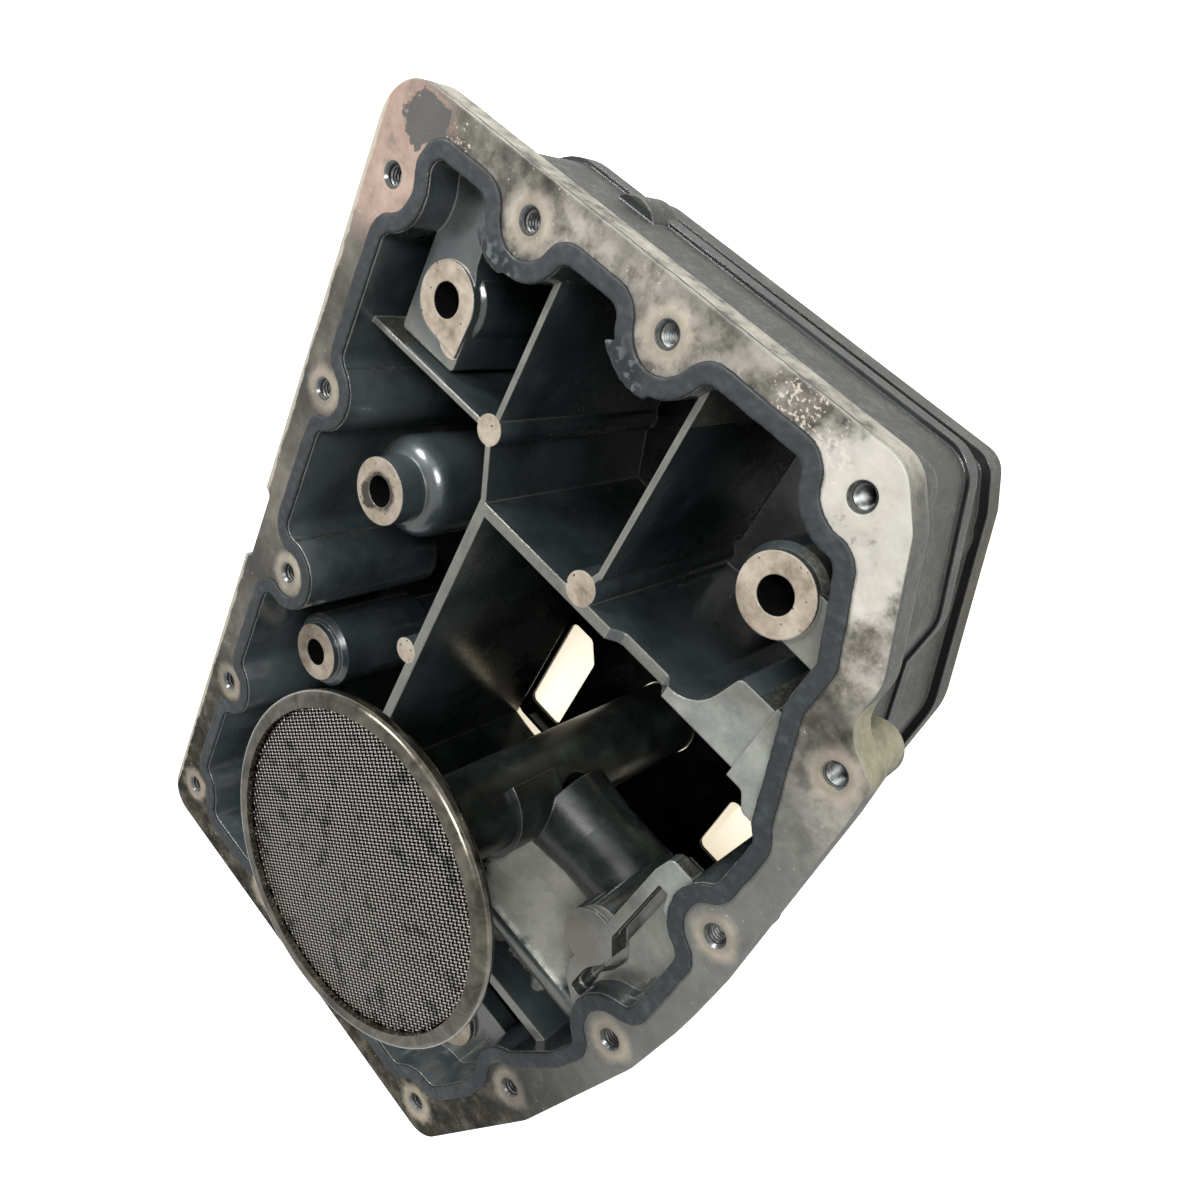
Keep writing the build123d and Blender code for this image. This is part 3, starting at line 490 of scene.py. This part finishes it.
# %%
# Bolt faces and posts: spot-faced, beige, with black pits
spot_colour = add(cast, "ValToRGB", {"Fac": smear},
                  stops=[(0.34, "8a7c6c"), (0.48, "b0a391"), (0.62, "c8bdac")])
pit = add(cast, "MapRange", {"Value": pits, "From Min": 0.16, "From Max": 0.1})
pit_area = add(cast, "MapRange", {"Value": smear, "From Min": 0.46, "From Max": 0.54})
pit_mark = add(cast, "Math", {0: pit, 1: pit_area}, operation="MULTIPLY")
spot_colour = add(cast, "Mix", {0: pit_mark, 6: spot_colour, 7: linear("2a2622")},
                  data_type="RGBA")
print("pitted faces:", len(cast.node_tree.nodes), "nodes so far")

# %%
# Smoke on two of the bolt faces, burnt grime on two
smoky_faces = [(-62.3, 38, 106, 11), (-72.1, -41, 96, 11)]
grimy_faces = [(-62.3, 38, 106, 7.6), (-64.5, 34.5, 106, 5.5), (-66.7, 97.2, 103.5, 5.4)]
smoky_depth = spots(cast, place, smoky_faces)
smoky = add(cast, "MapRange", {"Value": smoky_depth, "From Min": 0.0, "From Max": 0.5,
                               "To Max": 0.15})
spot_colour = add(cast, "Mix", {0: smoky, 6: spot_colour, 7: linear("5c564b")}, data_type="RGBA")
grime_depth = ragged(cast, spots(cast, place, grimy_faces), smear, 9.0)
grime = add(cast, "MapRange", {"Value": grime_depth, "From Min": 5.6, "From Max": 6.8,
                               "To Max": 0.9})
spot_colour = add(cast, "Mix", {0: grime, 6: spot_colour, 7: linear("221b15")}, data_type="RGBA")
spot_colour = add(cast, "Mix", {0: 1.0, 6: spot_colour, 7: linear("cfcfcf")}, data_type="RGBA",
                  blend_type="MULTIPLY")
base = add(cast, "Mix", {0: bolt_face, 6: base, 7: spot_colour}, data_type="RGBA")
print("bolt faces:", len(cast.node_tree.nodes), "nodes so far")

# %%
# Tapped holes: painted shade inside, below their chamfer
rim_depth = 0.5
in_hole = add(cast, "Math", {0: ring_depth, 1: 7.0}, operation="GREATER_THAN")
below_rim = add(cast, "Math", {0: axes["Z"], 1: FLANGE_Z - rim_depth}, operation="LESS_THAN")
hole_shade = add(cast, "Math", {0: in_hole, 1: below_rim}, operation="MULTIPLY")
base = add(cast, "Mix", {0: hole_shade, 6: base, 7: linear("2a2a28")}, data_type="RGBA")
print("holes dark below", FLANGE_Z - rim_depth, "mm")

# %% [markdown]
# ## Edges, gloss and relief
# Edges get a paler painted highlight, weaker where they lie deep. Gloss differs by
# zone too: an oil film coats the inside, the bright faces are satin and the soot is matt.
# One material could be made for each zone, but then every border would be sharp. Here
# each value is a mix of two plain ones by the masks from above.

# %%
# Painted highlights along the edges
edge_highlight_inside = add(cast, "MapRange", {"Value": axes["Z"], "From Min": 70.0, "From Max": 104.0,
                                     "To Min": 0.05, "To Max": 0.38})
edge_highlight_strength = add(cast, "Mix", {0: outside, 2: edge_highlight_inside, 3: 0.5}, data_type="FLOAT")
edge_highlight = add(cast, "Math", {0: edge, 1: edge_highlight_strength}, operation="MULTIPLY")
base = add(cast, "Mix", {0: edge_highlight, 6: base, 7: linear("a1a29c")}, data_type="RGBA")
print("colour done:", len(cast.node_tree.nodes), "nodes so far")

# %%
# Roughness, metal and shine: inside, outside, bright faces, soot
gloss_in = add(cast, "MapRange", {"Value": stain, "From Min": 0.4, "From Max": 0.62,
                                  "To Min": 0.16, "To Max": 0.4})
gloss = add(cast, "Mix", {0: outside, 2: gloss_in, 3: 0.72}, data_type="FLOAT")
gloss = add(cast, "Mix", {0: bright, 2: gloss, 3: 0.52}, data_type="FLOAT")
metal = add(cast, "Mix", {0: outside, 2: 0.15, 3: 0.0}, data_type="FLOAT")
metal = add(cast, "Mix", {0: bright, 2: metal, 3: 0.25}, data_type="FLOAT")
shine = add(cast, "Mix", {0: bright, 2: 0.5, 3: 0.22}, data_type="FLOAT")
sooted = add(cast, "Math", {0: sooty, 1: flange_face}, operation="MULTIPLY")
gloss = add(cast, "Mix", {0: sooted, 2: gloss, 3: 0.85}, data_type="FLOAT")
metal = add(cast, "Mix", {0: sooted, 2: metal, 3: 0.0}, data_type="FLOAT")
shine = add(cast, "Mix", {0: sooted, 2: shine, 3: 0.05}, data_type="FLOAT")
print("gloss done:", len(cast.node_tree.nodes), "nodes so far")

# %%
# A finish put on a CAD node
def wear(name, finish):
    """Gives one CAD node its finish."""
    piece = nodes[name]
    piece.data.materials.clear()
    piece.data.materials.append(finish)


# %%
# Relief, and the film of oil with its runs
relief_size = add(cast, "Mix", {0: bright, 2: skin, 3: smear}, data_type="FLOAT")
relief = add(cast, "Bump", {"Height": relief_size, "Distance": 0.12 * MM, "Strength": 0.5,
                            "Normal": soft_normal})
dry_zone = add(cast, "Math", {0: outside, 1: bright}, operation="MAXIMUM")
film = add(cast, "MapRange", {"Value": dry_zone, "From Min": 0.0, "From Max": 1.0,
                              "To Min": 0.7, "To Max": 0.0})
runs = add(cast, "Bump", {"Height": smear, "Distance": 0.25 * MM, "Strength": 0.35,
                          "Normal": soft_normal})
shader = add(cast, "BsdfPrincipled", {
    "Base Color": base, "Metallic": metal, "Roughness": gloss, "Normal": relief,
    "Specular IOR Level": shine, "Coat Weight": film, "Coat Roughness": 0.12,
    "Coat Normal": runs})
add(cast, "OutputMaterial", {"Surface": shader})
wear("pan_casting", cast)
print("casting finish has", len(cast.node_tree.nodes), "nodes")

# %% [markdown]
# ## Cured sealant
# The bead is a liquid gasket that was squeezed flat and has cured to a slate-blue rubber.
# It is matt, with wrinkles where it was pulled, paler scuffs and a few wet spots of oil.
# A fine noise gives the wrinkles and a wide one the scuffs. The torn places are balls, as
# on the casting, and the ridges there get a pale painted highlight.

# %%
# Slate liquid gasket, torn and wet in four places, with a pale painted highlight on the torn ridges
torn_places = [(-51.5, 117.0, 113, 6), (-46.0, 117.2, 113, 6), (-9.5, 119.5, 113, 6),
               (-2.5, 117.8, 113, 6)]
crease_lump = 2.5
scuff_lump = 14
sealant = new_finish("cured_liquid_gasket")
where = add(sealant, "TexCoord").outputs["Object"]
pulled = add(sealant, "TexNoise", {"Vector": where, "Scale": MM_PER_M / crease_lump, "Detail": 5.0})
wide = add(sealant, "TexNoise", {"Vector": where, "Scale": MM_PER_M / scuff_lump, "Detail": 3.0})
colour = add(sealant, "ValToRGB", {"Fac": pulled},
             stops=[(0.34, "0d1214"), (0.52, "151b1e"), (0.68, "242c30")])
tone = add(sealant, "ValToRGB", {"Fac": wide}, stops=[(0.35, "b6b8ba"), (0.65, "ffffff")])
colour = add(sealant, "Mix", {0: 0.7, 6: colour, 7: tone}, data_type="RGBA", blend_type="MULTIPLY")
wet = add(sealant, "MapRange", {"Value": wide, "From Min": 0.52, "From Max": 0.68,
                                "To Min": 0.65, "To Max": 0.4})
place = add(sealant, "VectorMath", {0: where, "Scale": MM_PER_M}, operation="SCALE").outputs[0]
torn_depth = spots(sealant, place, torn_places)
torn = add(sealant, "MapRange", {"Value": torn_depth, "From Min": 0.0, "From Max": 3.0})
wet = add(sealant, "Mix", {0: torn, 2: wet, 3: 0.14}, data_type="FLOAT")
torn_glint = add(sealant, "MapRange", {"Value": pulled, "From Min": 0.52, "From Max": 0.6})
torn_glint = add(sealant, "Math", {0: torn_glint, 1: torn}, operation="MULTIPLY")
colour = add(sealant, "Mix", {0: torn_glint, 6: colour, 7: linear("474d4e")}, data_type="RGBA")
crease = add(sealant, "MapRange", {"Value": torn, "To Min": 0.2 * MM, "To Max": 0.7 * MM})
wrinkles = add(sealant, "Bump", {"Height": pulled, "Distance": crease, "Strength": 0.6})
shader = add(sealant, "BsdfPrincipled", {"Base Color": colour, "Roughness": wet,
                                         "Normal": wrinkles})
add(sealant, "OutputMaterial", {"Surface": shader})
wear("sealant_bead", sealant)
print("sealant has", len(sealant.node_tree.nodes), "nodes")

# %% [markdown]
# ## The bead's shape
# Squeezed sealant isn't a flat strip: it has swollen, wrinkled and torn a little. A copy of
# the CAD strip is merged, given an even skin of small faces and pushed in and out by two
# sizes of clouds, which is quicker and more even than sculpting each wrinkle.


# %%
# Clouds that push a skin in and out, and the choice of one object
def clouds(piece, size_mm, height_mm):
    """Pushes the skin of a piece in and out by a cloud pattern."""
    pattern = bpy.data.textures.new("clouds_%g" % size_mm, "CLOUDS")
    pattern.noise_scale = size_mm * MM
    push = piece.modifiers.new("push", "DISPLACE")
    push.texture = pattern
    push.texture_coords = "LOCAL"
    push.strength = height_mm * MM
    push.mid_level = 0.55
    bpy.ops.object.modifier_apply(modifier=push.name)


def only(piece):
    """Selects one object alone and makes it the active one."""
    bpy.ops.object.select_all(action="DESELECT")
    piece.select_set(True)
    bpy.context.view_layer.objects.active = piece


# %%
# A copy of the strip with an even skin
weld = 0.001
bead_skin = 0.45
bead = bpy.data.objects.new("wrinkled_bead", nodes["sealant_bead"].data.copy())
bpy.context.scene.collection.objects.link(bead)
only(bead)
bpy.ops.object.mode_set(mode="EDIT")
bpy.ops.mesh.select_all(action="SELECT")
bpy.ops.mesh.remove_doubles(threshold=weld * MM)
bpy.ops.object.mode_set(mode="OBJECT")
even = bead.modifiers.new("even", "REMESH")
even.mode = "VOXEL"
even.voxel_size = bead_skin * MM
bpy.ops.object.modifier_apply(modifier=even.name)
print("even skin has", len(bead.data.polygons), "faces")

# %%
# The skin wrinkled and put in the place of the strip
clouds(bead, size_mm=7.0, height_mm=0.6)
clouds(bead, size_mm=1.6, height_mm=0.25)
bpy.ops.object.shade_smooth()
bead.data.materials.clear()
bead.data.materials.append(sealant)
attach(bead, "root")
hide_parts("sealant_bead")
print("bead has", len(bead.data.polygons), "faces")

# %% [markdown]
# ## Dark pick-up tube
# The tube and its branch are moulded in a dark glass-filled plastic with a low sheen. Oil
# film makes soft brighter runs along them, and their edges get a pale painted highlight. One
# noise drives both the colour and the sheen, because a wet place is darker and glossier
# at the same time.

# %%
# Oil-dark moulded plastic, with a pale painted highlight on its edges
run_lump = 12
grain_lump = 1.2
edge_rounding = 0.8
pickup = new_finish("oily_moulded_plastic")
where = add(pickup, "TexCoord").outputs["Object"]
run = add(pickup, "TexNoise", {"Vector": where, "Scale": MM_PER_M / run_lump, "Detail": 5.0,
                               "Roughness": 0.6})
fine = add(pickup, "TexNoise", {"Vector": where, "Scale": MM_PER_M / grain_lump, "Detail": 3.0})
colour = add(pickup, "ValToRGB", {"Fac": run},
             stops=[(0.34, "101312"), (0.52, "181c1a"), (0.7, "2a2e2a")])
round_edge = add(pickup, "Bevel", {"Radius": edge_rounding * MM}, samples=4)
flat = add(pickup, "NewGeometry").outputs["Normal"]
same = add(pickup, "VectorMath", {0: round_edge, 1: flat}, operation="DOT_PRODUCT")
tube_edge_highlight = add(pickup, "MapRange", {"Value": same.outputs["Value"], "From Min": 0.97,
                                  "From Max": 0.8, "To Max": 0.4})
colour = add(pickup, "Mix", {0: tube_edge_highlight, 6: colour, 7: linear("6a6c66")}, data_type="RGBA")
sheen = add(pickup, "MapRange", {"Value": run, "From Min": 0.3, "From Max": 0.7,
                                 "To Min": 0.24, "To Max": 0.42})
grain = add(pickup, "Bump", {"Height": fine, "Distance": 0.06 * MM, "Strength": 0.5,
                             "Normal": round_edge})
shader = add(pickup, "BsdfPrincipled", {"Base Color": colour, "Roughness": sheen,
                                        "Normal": grain})
add(pickup, "OutputMaterial", {"Surface": shader})
wear("pickup_tube", pickup)
wear("branch_elbow", pickup)
print("tube finish has", len(pickup.node_tree.nodes), "nodes")

# %% [markdown]
# ## Pressed steel and other small pieces
# The strainer's rim is rolled stainless sheet with a brown oil tint. Its bell is the same
# sheet, darkened by oil and painted nearly black as the shade seen through the mesh, and the
# baffle plate on the block side is nearly black, from oil and as painted shade of the deep
# well behind the tube. They are metals, so the tint goes in the base colour and the film in
# the roughness. They differ only in tint, roughness and size of smears, so one function makes
# them all. The seal, out of sight in its socket, takes the same recipe in black.


# %%
# One recipe for oily sheet metal, used with different tints
def oily_metal(name, dark, pale, rough, lump_mm):
    """Sheet metal under a film of oil: two tints, a mean roughness and a size of smears."""
    finish = new_finish(name)
    where = add(finish, "TexCoord").outputs["Object"]
    film = add(finish, "TexNoise", {"Vector": where, "Scale": MM_PER_M / lump_mm, "Detail": 5.0,
                                    "Roughness": 0.6, "Distortion": 0.6})
    colour = add(finish, "ValToRGB", {"Fac": film}, stops=[(0.32, dark), (0.66, pale)])
    rough_film = add(finish, "MapRange", {"Value": film, "From Min": 0.3, "From Max": 0.7,
                                          "To Min": rough - 0.08, "To Max": rough + 0.1})
    dents = add(finish, "Bump", {"Height": film, "Distance": 0.15 * MM, "Strength": 0.4})
    shader = add(finish, "BsdfPrincipled", {"Base Color": colour, "Metallic": 0.95,
                                            "Roughness": rough_film, "Normal": dents})
    add(finish, "OutputMaterial", {"Surface": shader})
    return finish


wear("strainer_rim", oily_metal("rolled_stainless", "3d3b35", "6c685e", 0.24, 7))
# The bell is painted nearly black as the shade seen through the mesh
wear("strainer_bell", oily_metal("shade_dark_pressed_steel", "0f0e0c", "24221e", 0.42, 9))
# The baffle plate is painted nearly black, from oil and as painted shade of the deep well
wear("baffle_plate", oily_metal("oil_and_shade_black_sheet", "0e0f0f", "2a2b29", 0.3, 12))
wear("baffle_screws", oily_metal("plated_screw_steel", "55554d", "8d8c80", 0.35, 4))
wear("dowel_sleeves", oily_metal("turned_sleeve_steel", "77766f", "a5a49c", 0.3, 4))
wear("branch_seal", oily_metal("black_seal_rubber", "0b0b0b", "1c1c1c", 0.5, 4))
print("small pieces dressed, finishes so far:", len(bpy.data.materials))

# %% [markdown]
# ## Woven strainer
# The strainer is a plain weave: each wire goes over one and under the next. One straight
# slanted piece of wire between two crossings is the whole pattern. It is mirrored to a
# wave, repeated along its length and across, and the waves between are turned over. A bump
# would be cheaper, but the mesh is seen from near by and its holes show what lies behind.

# %%
# The weave's measures, in mm
weave_middle = (14.7, -23.5)
weave_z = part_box("strainer_mesh")[1][2] / MM - 0.5
weave_radius = 45.8
weave_turn = math.radians(-43)
warp_pitch = 1.6
weft_pitch = 0.95
wire_radius = 0.26
wire_rise = 0.24


def inside_weave(corner):
    """Whether a corner of the weave, still at the origin, lies inside the rim."""
    return math.hypot(corner.x / MM, corner.y / MM) < weave_radius


print("weave of", 2 * weave_radius, "mm at", round(weave_z, 2), "mm")


# %%
# Painted highlight on the wire tops and painted shade between the crossings, less bright in dirty
# patches
crest_low = 0.02
crest_high = 0.36
dirt_lump = 6
wire = new_finish("woven_stainless_wire")
where = add(wire, "TexCoord").outputs["Object"]
level = add(wire, "SeparateXYZ", {0: where}).outputs["Z"]
crest_light_and_dirt = add(wire, "MapRange", {"Value": level, "From Min": (weave_z + crest_low) * MM,
                               "From Max": (weave_z + crest_high) * MM})
dirt = add(wire, "TexNoise", {"Vector": where, "Scale": MM_PER_M / dirt_lump, "Detail": 5.0})
clean = add(wire, "MapRange", {"Value": dirt, "From Min": 0.32, "From Max": 0.44,
                               "To Min": 0.72})
crest_light_and_dirt = add(wire, "Math", {0: crest_light_and_dirt, 1: clean}, operation="MULTIPLY")
wire_colour = add(wire, "ValToRGB", {"Fac": crest_light_and_dirt},
                  stops=[(0.0, "070706"), (0.5, "2b2a27"), (1.0, "bcb9b1")])
shader = add(wire, "BsdfPrincipled", {"Base Color": wire_colour, "Metallic": 0.9,
                                      "Roughness": 0.3})
add(wire, "OutputMaterial", {"Surface": shader})
wear("strainer_mesh", wire)
print("crossings every", warp_pitch, "and", weft_pitch, "mm")

# %%
# One slanted piece of wire between two crossings
wire_sides = 6
wire_weld = 0.01


def slanted_wire(name, along, upside):
    """A piece of wire along X that falls or climbs from one crossing to the next."""
    bpy.ops.object.select_all(action="DESELECT")
    bpy.ops.mesh.primitive_cylinder_add(vertices=wire_sides, radius=wire_radius * MM,
                                        depth=along * MM, end_fill_type="NOTHING",
                                        rotation=(0, math.pi / 2, 0))
    wires = bpy.context.object
    wires.name = name
    bpy.ops.object.transform_apply(location=True, rotation=True, scale=True)
    bpy.ops.object.mode_set(mode="EDIT")
    for side in (-1, 1):
        bpy.ops.mesh.select_all(action="DESELECT")
        bpy.ops.object.mode_set(mode="OBJECT")
        for corner in wires.data.vertices:
            corner.select = corner.co.x * side > 0
        bpy.ops.object.mode_set(mode="EDIT")
        rise = -side * upside * wire_rise
        bpy.ops.transform.translate(value=(-along / 2 * MM, 0, rise * MM))
    bpy.ops.object.mode_set(mode="OBJECT")
    return wires


# %%
# Wires that run one way
def weave_wires(name, along, across, upside):
    """Wires along X, `along` between crossings and `across` between wires, as one mesh."""
    wires = slanted_wire(name, along, upside)
    wave = wires.modifiers.new("wave", "MIRROR")
    wave.merge_threshold = wire_weld * MM
    bpy.ops.object.modifier_apply(modifier=wave.name)
    waves = 2 * math.ceil(weave_radius / along / 2)
    rows = 2 * math.ceil(weave_radius / across / 2)
    for count, step in ((waves, (2 * along, 0, 0)), (rows, (0, 2 * across, 0))):
        repeat = wires.modifiers.new("repeat", "ARRAY")
        repeat.count = count
        repeat.use_relative_offset = False
        repeat.use_constant_offset = True
        repeat.constant_offset_displace = [value * MM for value in step]
        repeat.use_merge_vertices = step[0] > 0
        repeat.merge_threshold = wire_weld * MM
        bpy.ops.object.modifier_apply(modifier=repeat.name)
    bpy.ops.object.mode_set(mode="EDIT")
    bpy.ops.mesh.select_all(action="SELECT")
    bpy.ops.transform.translate(value=(-(waves - 1) * along * MM, -rows * across * MM, 0))
    bpy.ops.mesh.duplicate()
    bpy.ops.transform.resize(value=(1, 1, -1), center_override=(0, 0, 0))
    bpy.ops.transform.translate(value=(0, across * MM, 0))
    bpy.ops.mesh.select_all(action="SELECT")
    bpy.ops.mesh.normals_make_consistent(inside=False)
    bpy.ops.object.mode_set(mode="OBJECT")
    return wires


# %%
# Both ways woven together, cut round and put in the rim
weave = weave_wires("strainer_weave", weft_pitch, warp_pitch, 1)
weave_wires("weft", warp_pitch, weft_pitch, -1)
bpy.ops.object.mode_set(mode="EDIT")
bpy.ops.mesh.select_all(action="SELECT")
bpy.ops.transform.rotate(value=-math.pi / 2, orient_axis="Z", center_override=(0, 0, 0))
bpy.ops.object.mode_set(mode="OBJECT")
weave.select_set(True)
bpy.context.view_layer.objects.active = weave
bpy.ops.object.join()
bpy.ops.object.mode_set(mode="EDIT")
bpy.ops.mesh.select_all(action="DESELECT")
bpy.ops.object.mode_set(mode="OBJECT")
for corner in weave.data.vertices:
    corner.select = not inside_weave(corner.co)
bpy.ops.object.mode_set(mode="EDIT")
bpy.ops.mesh.delete(type="VERT")
bpy.ops.mesh.select_all(action="SELECT")
bpy.ops.mesh.fill_holes(sides=0)
bpy.ops.mesh.select_all(action="SELECT")
bpy.ops.transform.rotate(value=-weave_turn, orient_axis="Z", center_override=(0, 0, 0))
bpy.ops.transform.translate(value=(weave_middle[0] * MM, weave_middle[1] * MM, weave_z * MM))
bpy.ops.object.mode_set(mode="OBJECT")
bpy.ops.object.shade_smooth()
weave.data.materials.append(wire)
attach(weave, "root")
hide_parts("strainer_mesh")
print("weave has", len(weave.data.polygons), "faces at", round(weave_z, 2), "mm")

# %% [markdown]
# ## Threads
# The tapped holes show the first turns of their threads. A thread is a small triangle
# turned round the hole and raised by one pitch each turn, which is what the Screw modifier
# does. One is made, and each hole gets a copy.

# %%
# One thread, as a triangle turned round the axis of a hole
ridge_radius = 0.42
ridge_reach = 2.62
thread_start = 101.5
thread_pitch = 1.0
thread_turns = 9
turn_steps = 18
bpy.ops.object.select_all(action="DESELECT")
bpy.ops.mesh.primitive_circle_add(vertices=3, radius=ridge_radius * MM, fill_type="NOTHING",
                                  rotation=(math.pi / 2, 0, 0))
thread = bpy.context.object
thread.name = "hole_threads"
bpy.ops.object.transform_apply(location=True, rotation=True, scale=True)
bpy.ops.object.mode_set(mode="EDIT")
bpy.ops.mesh.select_all(action="SELECT")
bpy.ops.transform.rotate(value=math.pi / 2, orient_axis="Y", center_override=(0, 0, 0))
bpy.ops.transform.translate(value=(ridge_reach * MM, 0, thread_start * MM))
bpy.ops.object.mode_set(mode="OBJECT")
turns = thread.modifiers.new("turns", "SCREW")
turns.axis = "Z"
turns.screw_offset = thread_pitch * MM
turns.iterations = thread_turns
turns.steps = turn_steps
turns.render_steps = turn_steps
turns.use_merge_vertices = True
turns.merge_threshold = weld * MM
bpy.ops.object.modifier_apply(modifier=turns.name)
bpy.ops.object.mode_set(mode="EDIT")
bpy.ops.mesh.select_all(action="SELECT")
bpy.ops.mesh.fill_holes(sides=3)
bpy.ops.mesh.normals_make_consistent(inside=False)
bpy.ops.object.mode_set(mode="OBJECT")
print("one thread has", len(thread.data.polygons), "faces")

# %%
# A copy of the thread in each hole, joined as one piece
thread_copies = []
for x, y in bolt_holes:
    copy = bpy.data.objects.new("thread_copy", thread.data.copy())
    bpy.context.scene.collection.objects.link(copy)
    copy.data.transform(Matrix.Translation((x * MM, y * MM, 0)))
    thread_copies.append(copy)
bpy.ops.object.select_all(action="DESELECT")
bpy.data.objects.remove(thread)
for copy in thread_copies:
    copy.select_set(True)
bpy.context.view_layer.objects.active = thread_copies[0]
bpy.ops.object.join()
threads = thread_copies[0]
threads.name = "hole_threads"
bpy.ops.object.shade_smooth_by_angle(angle=math.radians(40))
threads.data.materials.append(oily_metal("cut_thread_aluminium", "303232", "767876", 0.4, 3))
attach(threads, "root")
print("threads in", len(bolt_holes), "holes,", len(threads.data.polygons), "faces")

# %% [markdown]
# ## Light and floor
# The light comes from a large lamp behind the pan, a weaker one on its left, and a white
# world. The world is white to the camera and in reflections, and weaker as a light. The
# floor is white to the camera round the pan and cream under it, where it shows through the
# pan's openings. Large lamps are used because small ones leave hard white dots on the oil.

# %%
# World and lamps
world = bpy.data.worlds.new("studio")
bpy.context.scene.world = world
world.use_nodes = True
sky = world.node_tree.nodes["Background"]
sky.inputs["Color"].default_value = (1, 1, 1, 1)
path = add(world, "LightPath").outputs
direct = add(world, "Math", {0: path["Is Camera Ray"], 1: path["Is Glossy Ray"]},
             operation="MAXIMUM")
direct = add(world, "Math", {0: direct, 1: path["Is Transmission Ray"]}, operation="MAXIMUM")
strength = add(world, "MapRange", {"Value": direct, "To Min": 0.4})
world.node_tree.links.new(strength.outputs["Result"], sky.inputs["Strength"])


def lamp(name, place, target, size, power):
    """An area lamp that looks at a target. Places and size are in metres, power in watts."""
    data = bpy.data.lights.new(name, "AREA")
    data.size = size
    data.energy = power
    piece = bpy.data.objects.new(name, data)
    bpy.context.scene.collection.objects.link(piece)
    piece.location = place
    piece.rotation_euler = (Vector(place) - Vector(target)).to_track_quat("Z", "Y").to_euler()


pan_middle = (0, 0, 0.08)
lamp("key", place=(0.35, 0.75, 0.95), target=pan_middle, size=0.35, power=15)
lamp("fill", place=(-0.55, 0.45, 0.75), target=pan_middle, size=0.3, power=9)

# %%
# Floor, just below the pan, in metres
floor_size = 6
floor_drop = 0.0002
bpy.ops.object.select_all(action="DESELECT")
bpy.ops.mesh.primitive_plane_add(size=floor_size, location=(0, 0, -floor_drop))
floor = bpy.context.object
floor.name = "floor"
paint = new_finish("pale_floor")
where = add(paint, "TexCoord").outputs["Object"]
from_middle = add(paint, "VectorMath", {0: where}, operation="ABSOLUTE")
sides = add(paint, "SeparateXYZ", {0: from_middle.outputs[0]}).outputs
near_x = add(paint, "MapRange", {"Value": sides["X"], "From Min": 0.092, "From Max": 0.08})
near_y = add(paint, "MapRange", {"Value": sides["Y"], "From Min": 0.130, "From Max": 0.115})
under = add(paint, "Math", {0: near_x, 1: near_y}, operation="MULTIPLY")
glow_colour = add(paint, "Mix", {0: under, 6: (1, 1, 1, 1), 7: linear("f3e6c6")},
                  data_type="RGBA")
path = add(paint, "LightPath").outputs
shade = add(paint, "BsdfDiffuse", {"Color": (0.8, 0.8, 0.8, 1)})
glow = add(paint, "Emission", {"Color": glow_colour, "Strength": 0.85})
both = add(paint, "AddShader", {0: shade, 1: glow})
direct = add(paint, "Math", {0: path["Is Camera Ray"], 1: path["Is Glossy Ray"]},
             operation="MAXIMUM")
direct = add(paint, "Math", {0: direct, 1: path["Is Transmission Ray"]}, operation="MAXIMUM")
seen = add(paint, "MixShader", {0: direct, 1: shade, 2: both})
add(paint, "OutputMaterial", {"Surface": seen})
floor.data.materials.append(paint)
bpy.context.scene.view_settings.view_transform = "Standard"
print("floor staged,", floor_size, "m wide")
